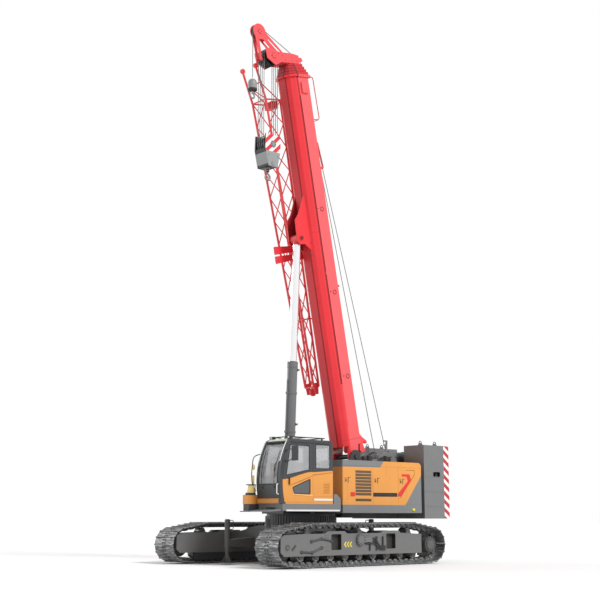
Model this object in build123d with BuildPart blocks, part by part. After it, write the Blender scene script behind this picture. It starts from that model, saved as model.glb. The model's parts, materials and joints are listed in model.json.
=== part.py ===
"""Telescopic-boom crawler crane, standing on its tracks with the boom up.

Millimetres. +X is forward, +Y is the machine's left, +Z is up.
The origin is on the ground under the slew axis.
"""
import os
from math import atan2, cos, degrees, pi, radians, sin

from build123d import *

os.makedirs("parts", exist_ok=True)

# Clearances
SEAT = 0.3
RUN = 5.0
PIN_FIT = 0.05

# Tracks
TRACK_LENGTH = 6300
TRACK_GAUGE = 4320
TRACK_TOP = 1130
SHOE_WIDTH = 850
SHOE_PITCH = 215
SHOE_LENGTH = 194
GROUSER = 34
SHOE_HEIGHT = 44
SHOE_PLATE = 22
LINK_HEIGHT = 105
LINK_WIDTH = 230
LINK_LENGTH = 232
LINK_RAIL = 92
TOOTH_HEIGHT = 30
WHEEL_Z = 520
WHEEL_BELT_RADIUS = 480
CARRIER_X = 1900
CARRIER_BELT_RADIUS = 260
GROUND_ROLLER_X = 2120
GROUND_BELT_RADIUS = 300

# Side frames
SIDE_FRAME_WIDTH = 560
SIDE_FRAME_BOTTOM = 300
SIDE_FRAME_TOP = 850
SIDE_FRAME_NOSE = 2900
SIDE_FRAME_TAIL = 2300
FRAME_BUMP = 60
FRAME_WINDOWS = (980, -1070)
FRAME_WINDOW_LENGTH = 360
FRAME_WINDOW_HEIGHT = 400
FRAME_WINDOW_Z = 635
BRACKET = 18
HUB_RADIUS = 215
COVER_X = 120
COVER_Z = 690
COVER_RADIUS = 150
COVER_DEPTH = 70
LINK_TUNNEL = 290
TUNNEL_PLAY = 20
ROLLER_RADIUS = 118
ROLLER_COUNT = 9
ROLLER_SPAN = 4200
CARRIER_RADIUS = 90
ROLLER_AXLE = 34

# Car body and slew ring
CAR_BODY_LENGTH = 2100
CAR_BODY_WIDTH = 2300
CAR_BODY_BOTTOM = 430
CAR_BODY_TOP = 1060
BEAM_X = 760
BEAM_WIDTH = 460
BEAM_BOTTOM = 460
BEAM_TOP = 840
SHOULDER_TOP = 720
SHOULDER_FOOT = 1700
SLEW_RADIUS = 1000
SLEW_BORE = 760
SLEW_TOP = 1300
SLEW_TEETH = 72
TOOTH_DEPTH = 28

# Self-assembly jacks
JACK_X = 1950
JACK_Y = 850
JACK_TUBE_RADIUS = 75
JACK_TUBE_WALL = 15
JACK_TUBE_BOTTOM = 420
JACK_TUBE_TOP = 1200
JACK_ARM_WIDTH = 170
JACK_ARM_BOTTOM = 430
JACK_ARM_TOP = 660
JACK_ROD_RADIUS = 52
JACK_FLOAT_RADIUS = 190
JACK_FLOAT_BOTTOM = 35
JACK_FLOAT_THICK = 35

# Turntable
DECK_BOTTOM = 1360
DECK_TOP = 1430
WEB_INNER = 402
WEB = 50
WEB_MID_X = -2500
WEB_MID_TOP = 2250
WEB_REAR_TOP = 2050
FRAME_REAR = 3527
REAR_FRAME_BOTTOM = 1250

# Boom placing
BOOM_ANGLE = 79
FOOT_X = -1760
FOOT_Z = 3000
FOOT_PIN_RADIUS = 70
FOOT_EAR_RADIUS = 190

# Boom sections
BASE_WIDTH = 700
BASE_TOP = 380
SEAM = -35
BEND_DROP = 150
BASE_BELLY = 385
BELLY_HALF = 130
SHOULDER_HALF = 270
SHOULDER_DROP = 290
RAIL_HEIGHT = 22
RAIL_DEPTH = 12
RAIL_START = 900
RAIL_BREAK = 5380
RAIL_END = 10760
VALVE_BOX_ALONG = 11000
VALVE_BOX_UP = 155
VALVE_BOX_DEPTH = 60
FOOT_HOOK_Y = 120
SECTION_COUNT = 5
SECTION_STEP = 32
SECTION_WALL = 10
TUBE_START = 330
TAIL_STEP = 110
BASE_END = 11400
COLLAR_PITCH = 90
COLLAR_THICK = 72
COLLAR_RISE = 48
PAD_LENGTH = 60
PAD_WIDTH = 110

# Luffing cylinder
LUFF_BASE_X = 500
LUFF_BASE_Z = 1600
LUFF_PIN_ALONG = 6509
LUFF_PIN_UP = -681
LUFF_PIN_RADIUS = 55
LUFF_EYE_RADIUS = 135
LUFF_EYE_WIDTH = 300
BARREL_RADIUS = 155
BARREL_BORE = 130
BARREL_LENGTH = 4010
ROD_RADIUS = 115
PISTON_RADIUS = 126
ROD_OVERLAP = 380
GLAND_LENGTH = 160
CHEEK_GAP = 10
PIN_CAP = 14
ROPE_GUIDES = (5000, 8600)
GUIDE_RISE = 230
CHEEK = 40

# Boom head
HEAD_PLATE = 30
HEAD_INNER = 232
HEAD_LENGTH = 300
SHEAVE_ALONG = 11930
SHEAVE_UP = -800
SHEAVE_RADIUS = 250
SHEAVE_PITCH = 84
SHEAVE_COUNT = 4
SHEAVE_THICK = 50
SHEAVE_PIN_RADIUS = 55
ROOSTER_ALONG = 12690
ROOSTER_UP = -1060
ROOSTER_RADIUS = 180
ROOSTER_PLATE_RADIUS = 235
ROOSTER_INNER = 60
ROOSTER_PLATE = 20
ROOSTER_PIN_RADIUS = 40
LEG_EYE_RADIUS = 62
ROPE_LUG_Y = 70
ROPE_RADIUS = 11

# Hooks
BLOCK_SHEAVE_Z = 11850
BLOCK_INNER = 200
BLOCK_PLATE = 45
BLOCK_TOP = 12130
BLOCK_WAIST_Z = 11700
BLOCK_WAIST = 290
BLOCK_FOOT_Z = 11180
BLOCK_FOOT = 170
BLOCK_PIN_RADIUS = 60
SHANK_FOOT_Z = 11060
MAIN_HOOK_RADIUS = 105
AUX_HOOK_RADIUS = 75
AUX_BALL_TOP = 13755
AUX_BALL_HEIGHT = 395
AUX_BALL_RADIUS = 138

# Lattice jib stowed on the right side of the boom
JIB_BASE_ALONG = 10850
JIB_TIP_ALONG = 2150
JIB_INNER_BASE = -520
JIB_INNER_TIP = -580
JIB_OUTER_BASE = -1130
JIB_OUTER_TIP = -940
JIB_HIGH_BASE = -60
JIB_HIGH_TIP = -100
JIB_LOW_BASE = -640
JIB_LOW_TIP = -310
JIB_EYE_ALONG = 11850
JIB_EYE_UP = -855
JIB_BAYS = 12
JIB_CHORD_RADIUS = 34
JIB_LACE_RADIUS = 17
BRACKET_STATIONS = (4150, 6300)
BRACKET_THICK = 40

# Cab
CAB_REAR = 190
CAB_INNER = 560
CAB_OUTER = 1500
CAB_FLOOR = 1610
CAB_TOE = 2020
CAB_NOSE = 2110
CAB_NOSE_Z = 2250
CAB_BROW = 1790
DOOR_HINGE_X = 925
CAB_ROOF = 3310
CAB_WALL = 50
PLATFORM_FRONT = 2000
PLATFORM_LENGTH = 1960
NOTCH_DEPTH = 250
STEP_REACH = 2420
STEP_PLATE = 25
BUMPER_DEPTH = 45
BUMPER_HEIGHT = 140
MIRROR_Y = 1860
MIRROR_X = 1980
MIRROR_Z = 2950
GLASS = 8

# Engine hood
HOOD_FRONT = -180
HOOD_REAR = -3395
HOOD_INNER = 640
HOOD_OUTER = 1500
HOOD_BOTTOM = 1600
HOOD_TOP = 2820
HOOD_WALL = 40
SKIRT_BOTTOM = 1380
LAMP_X = -3040
LAMP_Z = 1478
LAMP_RADIUS = 45
LAMP_DEPTH = 22
LOUVRE_FRONT = -676
LOUVRE_REAR = -1303
LOUVRE_BOTTOM = 1860
LOUVRE_PITCH = 88
LOUVRE_COUNT = 8
LOUVRE_DEPTH = 22
LOW_LOUVRE = 1700
DOOR_SEAMS = (-205, -1371, -2412, -3370)
DOOR_GAP = 6

# Counterweight
WEIGHT_REAR = -4770
WEIGHT_INNER = 713
WEIGHT_OUTER = 1500
WEIGHT_BOTTOM = 1222
WEIGHT_TOP = 3360
WEIGHT_BASE_TOP = 1560
SLAB_SEAMS = (1990, 2420)
SEAM_CUT = 8
POCKET_X = -4085
POCKET_LENGTH = 310
POCKET_HEIGHT = 140
POCKET_DEPTH = 90
BEVEL_LENGTH = 360
BEVEL_WIDTH = 110

# Winches
MAIN_DRUM_X = -3250
AUX_DRUM_X = -3950
DRUM_Z = 2900
DRUM_RADIUS = 240
DRUM_FLANGE_RADIUS = 315
DRUM_HALF_WIDTH = 300
DRUM_FLANGE = 25
DRUM_SHAFT_RADIUS = 90
MOTOR_RADIUS = 130
MOTOR_LENGTH = 110
POST_X = -3060
POST_Y = 422
WINCH_TOP = 3180
WINCH_PLATE = 40


def side(y):
    """Sketch plane seen from the machine's right: sketch X is forward, sketch Y is up."""
    return Plane(origin=(0, y, 0), x_dir=(1, 0, 0), z_dir=(0, -1, 0))


def level(z):
    """Sketch plane at a height: sketch X is forward, sketch Y is left."""
    return Plane.XY.offset(z)


boom_axis = Vector(cos(radians(BOOM_ANGLE)), 0, sin(radians(BOOM_ANGLE)))
boom_up = Vector(-sin(radians(BOOM_ANGLE)), 0, cos(radians(BOOM_ANGLE)))
foot = Vector(FOOT_X, 0, FOOT_Z)


def boom_side(y):
    """Sketch plane along the boom: sketch X runs from the foot pin to the head."""
    return Plane(origin=foot + Vector(0, y, 0), x_dir=boom_axis, z_dir=(0, -1, 0))


def station(along):
    """Sketch plane across the boom: sketch X is left, sketch Y is the boom's top."""
    return Plane(origin=foot + boom_axis * along, x_dir=(0, 1, 0), z_dir=boom_axis)


def on_boom(along, up, y=0):
    """Point given along the boom, above its foot pin and to the left."""
    return foot + boom_axis * along + boom_up * up + Vector(0, y, 0)


def bar(start, end, radius, sides=0):
    """Round or many-sided bar between two points."""
    run = end - start
    with BuildPart() as member:
        with BuildSketch(Plane(origin=start, z_dir=run.normalized())):
            if sides:
                RegularPolygon(radius, sides)
            else:
                Circle(radius)
        extrude(amount=run.length)
    return member.part


# Track: a hull round its wheels gives the belt line that the shoes follow
wheel_x = TRACK_LENGTH / 2 - WHEEL_BELT_RADIUS
belt_wheels = [
    # x, z, radius to the tips of the shoes
    (wheel_x, WHEEL_Z, WHEEL_BELT_RADIUS),
    (-wheel_x, WHEEL_Z, WHEEL_BELT_RADIUS),
    (CARRIER_X, TRACK_TOP - CARRIER_BELT_RADIUS, CARRIER_BELT_RADIUS),
    (-CARRIER_X, TRACK_TOP - CARRIER_BELT_RADIUS, CARRIER_BELT_RADIUS),
    (GROUND_ROLLER_X, GROUND_BELT_RADIUS, GROUND_BELT_RADIUS),
    (-GROUND_ROLLER_X, GROUND_BELT_RADIUS, GROUND_BELT_RADIUS),
]
track_y = TRACK_GAUGE / 2


def belt(inset):
    """Belt outline, inset from the shoes' tips."""
    with BuildSketch() as outline:
        for x, z, radius in belt_wheels:
            with Locations((x, z)):
                Circle(radius - inset)
        make_hull()
    return outline.sketch


belt_line = belt(0).faces()[0].outer_wire()
shoe_count = round(belt_line.length / SHOE_PITCH)
belt_spots = []
for index in range(shoe_count):
    share = (index + 0.5) / shoe_count
    spot = belt_line.position_at(share)
    run = belt_line.tangent_at(share)
    belt_spots.append((spot.X, spot.Y, degrees(atan2(run.Y, run.X))))


def along_belt(*points):
    """One outline repeated at every shoe. Its second value is the depth inwards from the shoe's tip."""
    with BuildSketch() as outline:
        for x, z, turn in belt_spots:
            with Locations(Location((x, z, 0), turn)):
                Polygon(*points, align=None)
    return outline.sketch


# A shoe is a plate with a grouser at one edge. Its link narrows to the rail that the rollers run on.
shoe_half = SHOE_LENGTH / 2
link_depth = SHOE_HEIGHT + LINK_HEIGHT
with BuildPart() as left_track:
    with BuildSketch(side(track_y)):
        add(
            along_belt(
                (-shoe_half, SHOE_HEIGHT),
                (-shoe_half, 0),
                (GROUSER - shoe_half, 0),
                (GROUSER - shoe_half, SHOE_HEIGHT - SHOE_PLATE),
                (shoe_half, SHOE_HEIGHT - SHOE_PLATE),
                (shoe_half, SHOE_HEIGHT),
            )
        )
    extrude(amount=SHOE_WIDTH / 2, both=True)
    with BuildSketch(side(track_y)):
        add(
            along_belt(
                (-LINK_LENGTH / 2, SHOE_HEIGHT - 8),
                (LINK_LENGTH / 2, SHOE_HEIGHT - 8),
                (LINK_LENGTH / 2, SHOE_HEIGHT + 30),
                (LINK_RAIL / 2, link_depth),
                (-LINK_RAIL / 2, link_depth),
                (-LINK_LENGTH / 2, SHOE_HEIGHT + 30),
            )
        )
    extrude(amount=LINK_WIDTH / 2, both=True)

with BuildPart() as right_track:
    mirror(left_track.part, about=Plane.XZ)

# Sprockets and idlers run inside the links, and the sprockets' teeth reach between them
wheel_radius = WHEEL_BELT_RADIUS - link_depth - SEAT
tooth_count = round(2 * pi * WHEEL_BELT_RADIUS / SHOE_PITCH)
rearmost = min(belt_spots)
rear_shoe_turn = degrees(atan2(rearmost[1] - WHEEL_Z, rearmost[0] + wheel_x))
hub_inner = track_y - LINK_TUNNEL / 2 + SEAT
hub_outer = track_y + SIDE_FRAME_WIDTH / 2
with BuildPart() as left_sprocket:
    with BuildSketch(side(track_y)):
        with Locations((-wheel_x, WHEEL_Z)):
            Circle(wheel_radius)
        with Locations((-wheel_x, WHEEL_Z)):
            with PolarLocations(wheel_radius, tooth_count, rear_shoe_turn + 180 / tooth_count):
                Polygon((-20, -22), (TOOTH_HEIGHT, -5), (TOOTH_HEIGHT, 5), (-20, 22), align=None)
    extrude(amount=35, both=True)
    with BuildSketch(side(hub_outer)):
        with Locations((-wheel_x, WHEEL_Z)):
            Circle(HUB_RADIUS)
    extrude(amount=hub_outer - hub_inner)
    with BuildSketch(side(hub_outer + 24)):
        with Locations((-wheel_x, WHEEL_Z)):
            Circle(HUB_RADIUS - 45)
    extrude(amount=24)

with BuildPart() as right_sprocket:
    mirror(left_sprocket.part, about=Plane.XZ)

with BuildPart() as drive_sprockets:
    add(left_sprocket.part)
    add(right_sprocket.part)

with BuildPart() as left_idler:
    with BuildSketch(side(track_y)):
        with Locations((wheel_x, WHEEL_Z)):
            Circle(wheel_radius)
    extrude(amount=55, both=True)
    with BuildSketch(side(track_y)):
        with Locations((wheel_x, WHEEL_Z)):
            Circle(90)
    extrude(amount=LINK_TUNNEL / 2 - SEAT, both=True)

with BuildPart() as idlers:
    add(left_idler.part)
    mirror(left_idler.part, about=Plane.XZ)

# Rollers: a row under the side frame and three above it, held by pins in the frame's plates
roller_z = SHOE_HEIGHT + LINK_HEIGHT + ROLLER_RADIUS + SEAT
carrier_z = TRACK_TOP - SHOE_HEIGHT - LINK_HEIGHT - CARRIER_RADIUS - SEAT
with BuildPart() as left_rollers:
    with BuildSketch(side(track_y)):
        with Locations((0, roller_z)):
            with GridLocations(ROLLER_SPAN / (ROLLER_COUNT - 1), 0, ROLLER_COUNT, 1):
                Circle(ROLLER_RADIUS)
        for x in (-CARRIER_X, 0, CARRIER_X):
            with Locations((x, carrier_z)):
                Circle(CARRIER_RADIUS)
    extrude(amount=LINK_TUNNEL / 2 - 15, both=True)
    # Axles reach the brackets of the side frame
    with BuildSketch(side(track_y)):
        with Locations((0, roller_z)):
            with GridLocations(ROLLER_SPAN / (ROLLER_COUNT - 1), 0, ROLLER_COUNT, 1):
                Circle(ROLLER_AXLE)
        for x in (-CARRIER_X, 0, CARRIER_X):
            with Locations((x, carrier_z)):
                Circle(ROLLER_AXLE)
    extrude(amount=LINK_TUNNEL / 2 - SEAT, both=True)

with BuildPart() as track_rollers:
    add(left_rollers.part)
    mirror(left_rollers.part, about=Plane.XZ)

# Side frame: an outline with a rise over each window, hollowed for the links and the rollers
frame_half = SIDE_FRAME_WIDTH / 2
frame_top_line = []
for x in FRAME_WINDOWS:
    frame_top_line += [
        (x + 390, SIDE_FRAME_TOP),
        (x + 310, SIDE_FRAME_TOP + FRAME_BUMP),
        (x - 310, SIDE_FRAME_TOP + FRAME_BUMP),
        (x - 390, SIDE_FRAME_TOP),
    ]
roller_xs = [ROLLER_SPAN * (index / (ROLLER_COUNT - 1) - 0.5) for index in range(ROLLER_COUNT)]
with BuildPart() as left_track_frame:
    with BuildSketch(side(track_y)):
        Polygon(
            (SIDE_FRAME_NOSE, 400),
            (SIDE_FRAME_NOSE, 760),
            (SIDE_FRAME_NOSE - 120, SIDE_FRAME_TOP - 20),
            (SIDE_FRAME_NOSE - 900, SIDE_FRAME_TOP),
            *frame_top_line,
            (-SIDE_FRAME_TAIL, SIDE_FRAME_TOP - 40),
            (-SIDE_FRAME_TAIL, SIDE_FRAME_BOTTOM),
            (SIDE_FRAME_NOSE - 120, SIDE_FRAME_BOTTOM),
            align=None,
        )
    extrude(amount=frame_half, both=True)
    for x in (wheel_x, -wheel_x):
        with BuildSketch(side(track_y)):
            with Locations((x, WHEEL_Z)):
                Circle(WHEEL_BELT_RADIUS)
        extrude(amount=LINK_TUNNEL / 2, both=True, mode=Mode.SUBTRACT)
    with BuildSketch(side(track_y)):
        with Locations((0, (roller_z + ROLLER_RADIUS + TUNNEL_PLAY) / 2)):
            Rectangle(2 * SIDE_FRAME_NOSE + 200, roller_z + ROLLER_RADIUS + TUNNEL_PLAY)
        with Locations((0, carrier_z - CARRIER_RADIUS - TUNNEL_PLAY)):
            Rectangle(2 * SIDE_FRAME_TAIL, TRACK_TOP, align=(Align.CENTER, Align.MIN))
    extrude(amount=LINK_TUNNEL / 2, both=True, mode=Mode.SUBTRACT)
    with BuildSketch(side(track_y + frame_half)):
        for x in FRAME_WINDOWS:
            with Locations((x, FRAME_WINDOW_Z)):
                RectangleRounded(FRAME_WINDOW_LENGTH, FRAME_WINDOW_HEIGHT, 30)
    extrude(amount=frame_half - LINK_TUNNEL / 2 - 20, mode=Mode.SUBTRACT)
    # Brackets hold the rollers' axles: a row below and three above
    for y in (track_y + LINK_TUNNEL / 2 + BRACKET, track_y - LINK_TUNNEL / 2):
        with BuildSketch(side(y)):
            for x in roller_xs:
                with Locations((x, 0)):
                    Polygon(
                        (-110, SIDE_FRAME_BOTTOM + 1),
                        (-45, roller_z - 50),
                        (45, roller_z - 50),
                        (110, SIDE_FRAME_BOTTOM + 1),
                        align=None,
                    )
            for x in (-CARRIER_X, 0, CARRIER_X):
                with Locations((x, 0)):
                    Polygon(
                        (-120, SIDE_FRAME_TOP - 45),
                        (120, SIDE_FRAME_TOP - 45),
                        (50, carrier_z + 45),
                        (-50, carrier_z + 45),
                        align=None,
                    )
        extrude(amount=BRACKET)
    # The inner plate runs back to the sprocket's hub
    with BuildSketch(side(track_y - LINK_TUNNEL / 2)):
        Polygon(
            (-SIDE_FRAME_TAIL + 50, SIDE_FRAME_BOTTOM),
            (-SIDE_FRAME_TAIL + 50, SIDE_FRAME_TOP - 40),
            (-wheel_x - 60, SIDE_FRAME_TOP - 110),
            (-wheel_x - HUB_RADIUS, WHEEL_Z + 100),
            (-wheel_x - HUB_RADIUS, WHEEL_Z - 100),
            (-wheel_x - 60, SIDE_FRAME_BOTTOM + 10),
            align=None,
        )
    extrude(amount=frame_half - LINK_TUNNEL / 2)
    # Bolted cover of the beam's end, and the idler's axle
    with BuildSketch(side(track_y + frame_half + COVER_DEPTH)):
        with Locations((COVER_X, COVER_Z)):
            Circle(COVER_RADIUS)
        with Locations((COVER_X - 250, COVER_Z)):
            Rectangle(300, COVER_RADIUS)
    extrude(amount=COVER_DEPTH + 2)
    with BuildSketch(side(track_y + frame_half + 14)):
        with Locations((wheel_x, WHEEL_Z)):
            Circle(70)
    extrude(amount=frame_half - LINK_TUNNEL / 2 + 14)

with BuildPart() as right_track_frame:
    mirror(left_track_frame.part, about=Plane.XZ)

# Car body: a deep box with two cross beams that the side frames hang on
beam_reach = track_y - frame_half
with BuildPart() as car_body:
    with BuildSketch(level(CAR_BODY_BOTTOM)):
        Rectangle(CAR_BODY_LENGTH, CAR_BODY_WIDTH - 500)
    extrude(amount=CAR_BODY_TOP - CAR_BODY_BOTTOM - 160)
    with BuildSketch(level(CAR_BODY_BOTTOM)):
        Circle(SLEW_RADIUS + 20)
    extrude(amount=CAR_BODY_TOP - CAR_BODY_BOTTOM)
    for x in (-BEAM_X, BEAM_X):
        with BuildSketch(Plane.YZ.offset(x)):
            with Locations((0, (BEAM_BOTTOM + BEAM_TOP) / 2)):
                Rectangle(2 * beam_reach, BEAM_TOP - BEAM_BOTTOM)
            for hand in (1, -1):
                Polygon(
                    (0, CAR_BODY_TOP - 25),
                    (hand * SHOULDER_TOP, CAR_BODY_TOP - 25),
                    (hand * SHOULDER_FOOT, BEAM_TOP),
                    (0, BEAM_TOP),
                    align=None,
                )
        extrude(amount=BEAM_WIDTH / 2, both=True)

with BuildPart() as slew_bearing:
    with BuildSketch(level(CAR_BODY_TOP)):
        Circle(SLEW_RADIUS)
        Circle(SLEW_BORE, mode=Mode.SUBTRACT)
        with PolarLocations(SLEW_RADIUS, SLEW_TEETH):
            Rectangle(2 * TOOTH_DEPTH, 40, mode=Mode.SUBTRACT)
    extrude(amount=SLEW_TOP - CAR_BODY_TOP)

# Jacks: an arm and a tube at each corner, with a rod and a round float in the tube
jack_spots = [(x, y) for x in (JACK_X, -JACK_X) for y in (JACK_Y, -JACK_Y)]
with BuildPart() as jack_arms:
    for x, y in jack_spots:
        arm_root = CAR_BODY_LENGTH / 2 * (1 if x > 0 else -1)
        with BuildSketch(side(y)):
            Polygon(
                (arm_root, JACK_ARM_BOTTOM),
                (arm_root, JACK_ARM_TOP + 60),
                (x, JACK_ARM_TOP),
                (x, JACK_ARM_BOTTOM + 60),
                align=None,
            )
        extrude(amount=JACK_ARM_WIDTH / 2, both=True)
        with BuildSketch(level(JACK_TUBE_BOTTOM)):
            with Locations((x, y)):
                Circle(JACK_TUBE_RADIUS)
        extrude(amount=JACK_TUBE_TOP - JACK_TUBE_BOTTOM)
        with BuildSketch(level(JACK_TUBE_BOTTOM)):
            with Locations((x, y)):
                Circle(JACK_TUBE_RADIUS - JACK_TUBE_WALL)
        extrude(amount=JACK_TUBE_TOP - JACK_TUBE_BOTTOM - 20, mode=Mode.SUBTRACT)


def jack_leg(x, y):
    """Rod with a piston head and a float held by four gussets."""
    float_top = JACK_FLOAT_BOTTOM + JACK_FLOAT_THICK
    with BuildPart() as leg:
        with BuildSketch(level(JACK_FLOAT_BOTTOM)):
            with Locations((x, y)):
                Circle(JACK_FLOAT_RADIUS)
        extrude(amount=JACK_FLOAT_THICK)
        with BuildSketch(level(float_top)):
            with Locations((x, y)):
                Circle(JACK_ROD_RADIUS)
        extrude(amount=JACK_TUBE_TOP - 80 - float_top)
        with BuildSketch(level(JACK_TUBE_TOP - 140)):
            with Locations((x, y)):
                Circle(JACK_TUBE_RADIUS - JACK_TUBE_WALL - SEAT)
        extrude(amount=60)
        for turn in (0, 90):
            gusset_plane = Plane(
                origin=(x, y, 0),
                x_dir=(cos(radians(turn)), sin(radians(turn)), 0),
                z_dir=(sin(radians(turn)), -cos(radians(turn)), 0),
            )
            with BuildSketch(gusset_plane):
                Polygon(
                    (-JACK_FLOAT_RADIUS + 20, float_top),
                    (JACK_FLOAT_RADIUS - 20, float_top),
                    (JACK_ROD_RADIUS, float_top + 190),
                    (-JACK_ROD_RADIUS, float_top + 190),
                    align=None,
                )
            extrude(amount=9, both=True)
    return leg


jack_legs = {
    name: jack_leg(x, y)
    for name, (x, y) in zip(
        ("jack_leg_front_left", "jack_leg_front_right", "jack_leg_rear_left", "jack_leg_rear_right"),
        jack_spots,
    )
}

# Turntable: slew flange, deck, two tall webs with the boom foot ears, and the luffing cylinder's ears
with BuildPart() as turntable:
    with BuildSketch(level(SLEW_TOP + SEAT)):
        Circle(SLEW_RADIUS - 40)
        Circle(SLEW_BORE, mode=Mode.SUBTRACT)
    extrude(amount=DECK_BOTTOM - SLEW_TOP - SEAT)
    with BuildSketch(level(DECK_BOTTOM)):
        with Locations((-50, 0)):
            Rectangle(2200, 2 * (WEB_INNER + WEB))
    extrude(amount=DECK_TOP - DECK_BOTTOM)
    with BuildSketch(level(REAR_FRAME_BOTTOM)):
        with Locations(((-FRAME_REAR - 1150) / 2, 0)):
            Rectangle(FRAME_REAR - 1150, 2 * (WEB_INNER + WEB))
    extrude(amount=60)
    for y in (WEB_INNER, -WEB_INNER - WEB):
        with BuildSketch(side(y + WEB)):
            with BuildLine():
                Polyline(
                    (FOOT_X + FOOT_EAR_RADIUS, FOOT_Z),
                    (-700, 2150),
                    (650, 1800),
                    (1050, DECK_BOTTOM),
                    (-1150, DECK_BOTTOM),
                    (-1250, REAR_FRAME_BOTTOM),
                    (-FRAME_REAR, REAR_FRAME_BOTTOM),
                    (-FRAME_REAR, WEB_REAR_TOP),
                    (WEB_MID_X, WEB_MID_TOP),
                    (FOOT_X - FOOT_EAR_RADIUS, FOOT_Z),
                )
                RadiusArc(
                    (FOOT_X - FOOT_EAR_RADIUS, FOOT_Z),
                    (FOOT_X + FOOT_EAR_RADIUS, FOOT_Z),
                    FOOT_EAR_RADIUS,
                )
            make_face()
        extrude(amount=WEB)
    for y in (LUFF_EYE_WIDTH / 2 + RUN, -LUFF_EYE_WIDTH / 2 - RUN - CHEEK):
        with BuildSketch(side(y + CHEEK)):
            with BuildLine():
                Polyline(
                    (LUFF_BASE_X + LUFF_EYE_RADIUS, LUFF_BASE_Z),
                    (LUFF_BASE_X + 250, DECK_TOP),
                    (LUFF_BASE_X - 350, DECK_TOP),
                    (LUFF_BASE_X - LUFF_EYE_RADIUS, LUFF_BASE_Z),
                )
                RadiusArc(
                    (LUFF_BASE_X - LUFF_EYE_RADIUS, LUFF_BASE_Z),
                    (LUFF_BASE_X + LUFF_EYE_RADIUS, LUFF_BASE_Z),
                    LUFF_EYE_RADIUS,
                )
            make_face()
        extrude(amount=CHEEK)
    with BuildSketch(side(LUFF_EYE_WIDTH / 2 + RUN + CHEEK)):
        with Locations((LUFF_BASE_X, LUFF_BASE_Z)):
            Circle(LUFF_PIN_RADIUS)
    extrude(amount=LUFF_EYE_WIDTH + 2 * RUN + 2 * CHEEK)
    with BuildSketch(side(WEB_INNER + WEB + 40)):
        with Locations((FOOT_X, FOOT_Z)):
            Circle(FOOT_PIN_RADIUS)
    extrude(amount=2 * (WEB_INNER + WEB + 40))

with BuildPart() as side_decks:
    with BuildSketch(level(SKIRT_BOTTOM)):
        for y in (1, -1):
            with Locations(((HOOD_FRONT + HOOD_REAR) / 2, y * (WEB_INNER + WEB + HOOD_OUTER) / 2)):
                Rectangle(HOOD_FRONT - HOOD_REAR, HOOD_OUTER - WEB_INNER - WEB)
    extrude(amount=HOOD_BOTTOM - SKIRT_BOTTOM)
    for y in (HOOD_OUTER + LAMP_DEPTH, -HOOD_OUTER):
        with BuildSketch(side(y)):
            with Locations((LAMP_X, LAMP_Z)):
                Circle(LAMP_RADIUS)
        extrude(amount=LAMP_DEPTH)

with BuildPart() as cab_platform:
    with BuildSketch(level(DECK_TOP)):
        with Locations((PLATFORM_FRONT, (WEB_INNER + WEB + CAB_OUTER) / 2)):
            Rectangle(PLATFORM_LENGTH, CAB_OUTER - WEB_INNER - WEB, align=(Align.MAX, Align.CENTER))
    extrude(amount=CAB_FLOOR - DECK_TOP - SEAT)
    with BuildSketch(level(DECK_TOP)):
        with Locations((PLATFORM_FRONT, (CAB_INNER + CAB_OUTER) / 2)):
            Rectangle(NOTCH_DEPTH, 360, align=(Align.MAX, Align.CENTER))
    extrude(amount=90, mode=Mode.SUBTRACT)
    with BuildSketch(side(CAB_OUTER - 60)):
        Polygon(
            (PLATFORM_FRONT, DECK_TOP),
            (STEP_REACH, DECK_TOP - STEP_PLATE),
            (STEP_REACH, DECK_TOP),
            (PLATFORM_FRONT, DECK_TOP + 2 * STEP_PLATE),
            align=None,
        )
    extrude(amount=CAB_OUTER - CAB_INNER - 120)

# Cab: a side outline pulled across, hollowed, with its windows and door cut out
def cab_outline(inset=0):
    """Side outline of the cab, inset by a wall."""
    with BuildSketch() as outline:
        with BuildLine():
            front = ThreePointArc((CAB_TOE, CAB_FLOOR), (CAB_NOSE, CAB_NOSE_Z), (CAB_BROW, CAB_ROOF - 40))
            roof = Polyline(front @ 1, (CAB_BROW - 90, CAB_ROOF), (CAB_REAR + 80, CAB_ROOF))
            Polyline(roof @ 1, (CAB_REAR, CAB_ROOF - 100), (CAB_REAR, CAB_FLOOR), front @ 0)
        make_face()
        if inset:
            offset(amount=-inset, kind=Kind.INTERSECTION, mode=Mode.REPLACE)
    return outline.sketch


def cab_shell_part(wall, gap=0):
    """Hollow cab skin of a given wall thickness, inset from the outside by a gap."""
    with BuildPart() as skin:
        with BuildSketch(side(CAB_OUTER - gap)):
            add(cab_outline(gap))
        extrude(amount=CAB_OUTER - CAB_INNER - 2 * gap)
        with BuildSketch(side(CAB_OUTER - gap - wall)):
            add(cab_outline(gap + wall))
        extrude(amount=CAB_OUTER - CAB_INNER - 2 * gap - 2 * wall, mode=Mode.SUBTRACT)
    return skin


def door_outline(inset=0):
    """Cab door: front edge follows the pillar, rear edge is the hinge."""
    with BuildSketch() as outline:
        with BuildLine():
            door_toe = (CAB_TOE - 80, CAB_FLOOR + 40)
            front = ThreePointArc(door_toe, (CAB_NOSE - 100, CAB_NOSE_Z), (CAB_BROW - 50, CAB_ROOF - 110))
            Polyline(front @ 1, (DOOR_HINGE_X, CAB_ROOF - 110), (DOOR_HINGE_X, CAB_FLOOR + 40), front @ 0)
        make_face()
        if inset:
            offset(amount=-inset, kind=Kind.INTERSECTION, mode=Mode.REPLACE)
    return outline.sketch


door_window_points = ((1740, 3150), (1055, 3150), (1055, 2510), (1880, 2350))
door_low_window_points = ((1660, 2035), (1030, 2265), (1030, 1870), (1600, 1880))
rear_window_points = ((820, 3190), (300, 3190), (300, 2550), (820, 2550))
windscreen_box = (650, 1400, 2120, 3180)
side_reach = 200


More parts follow.
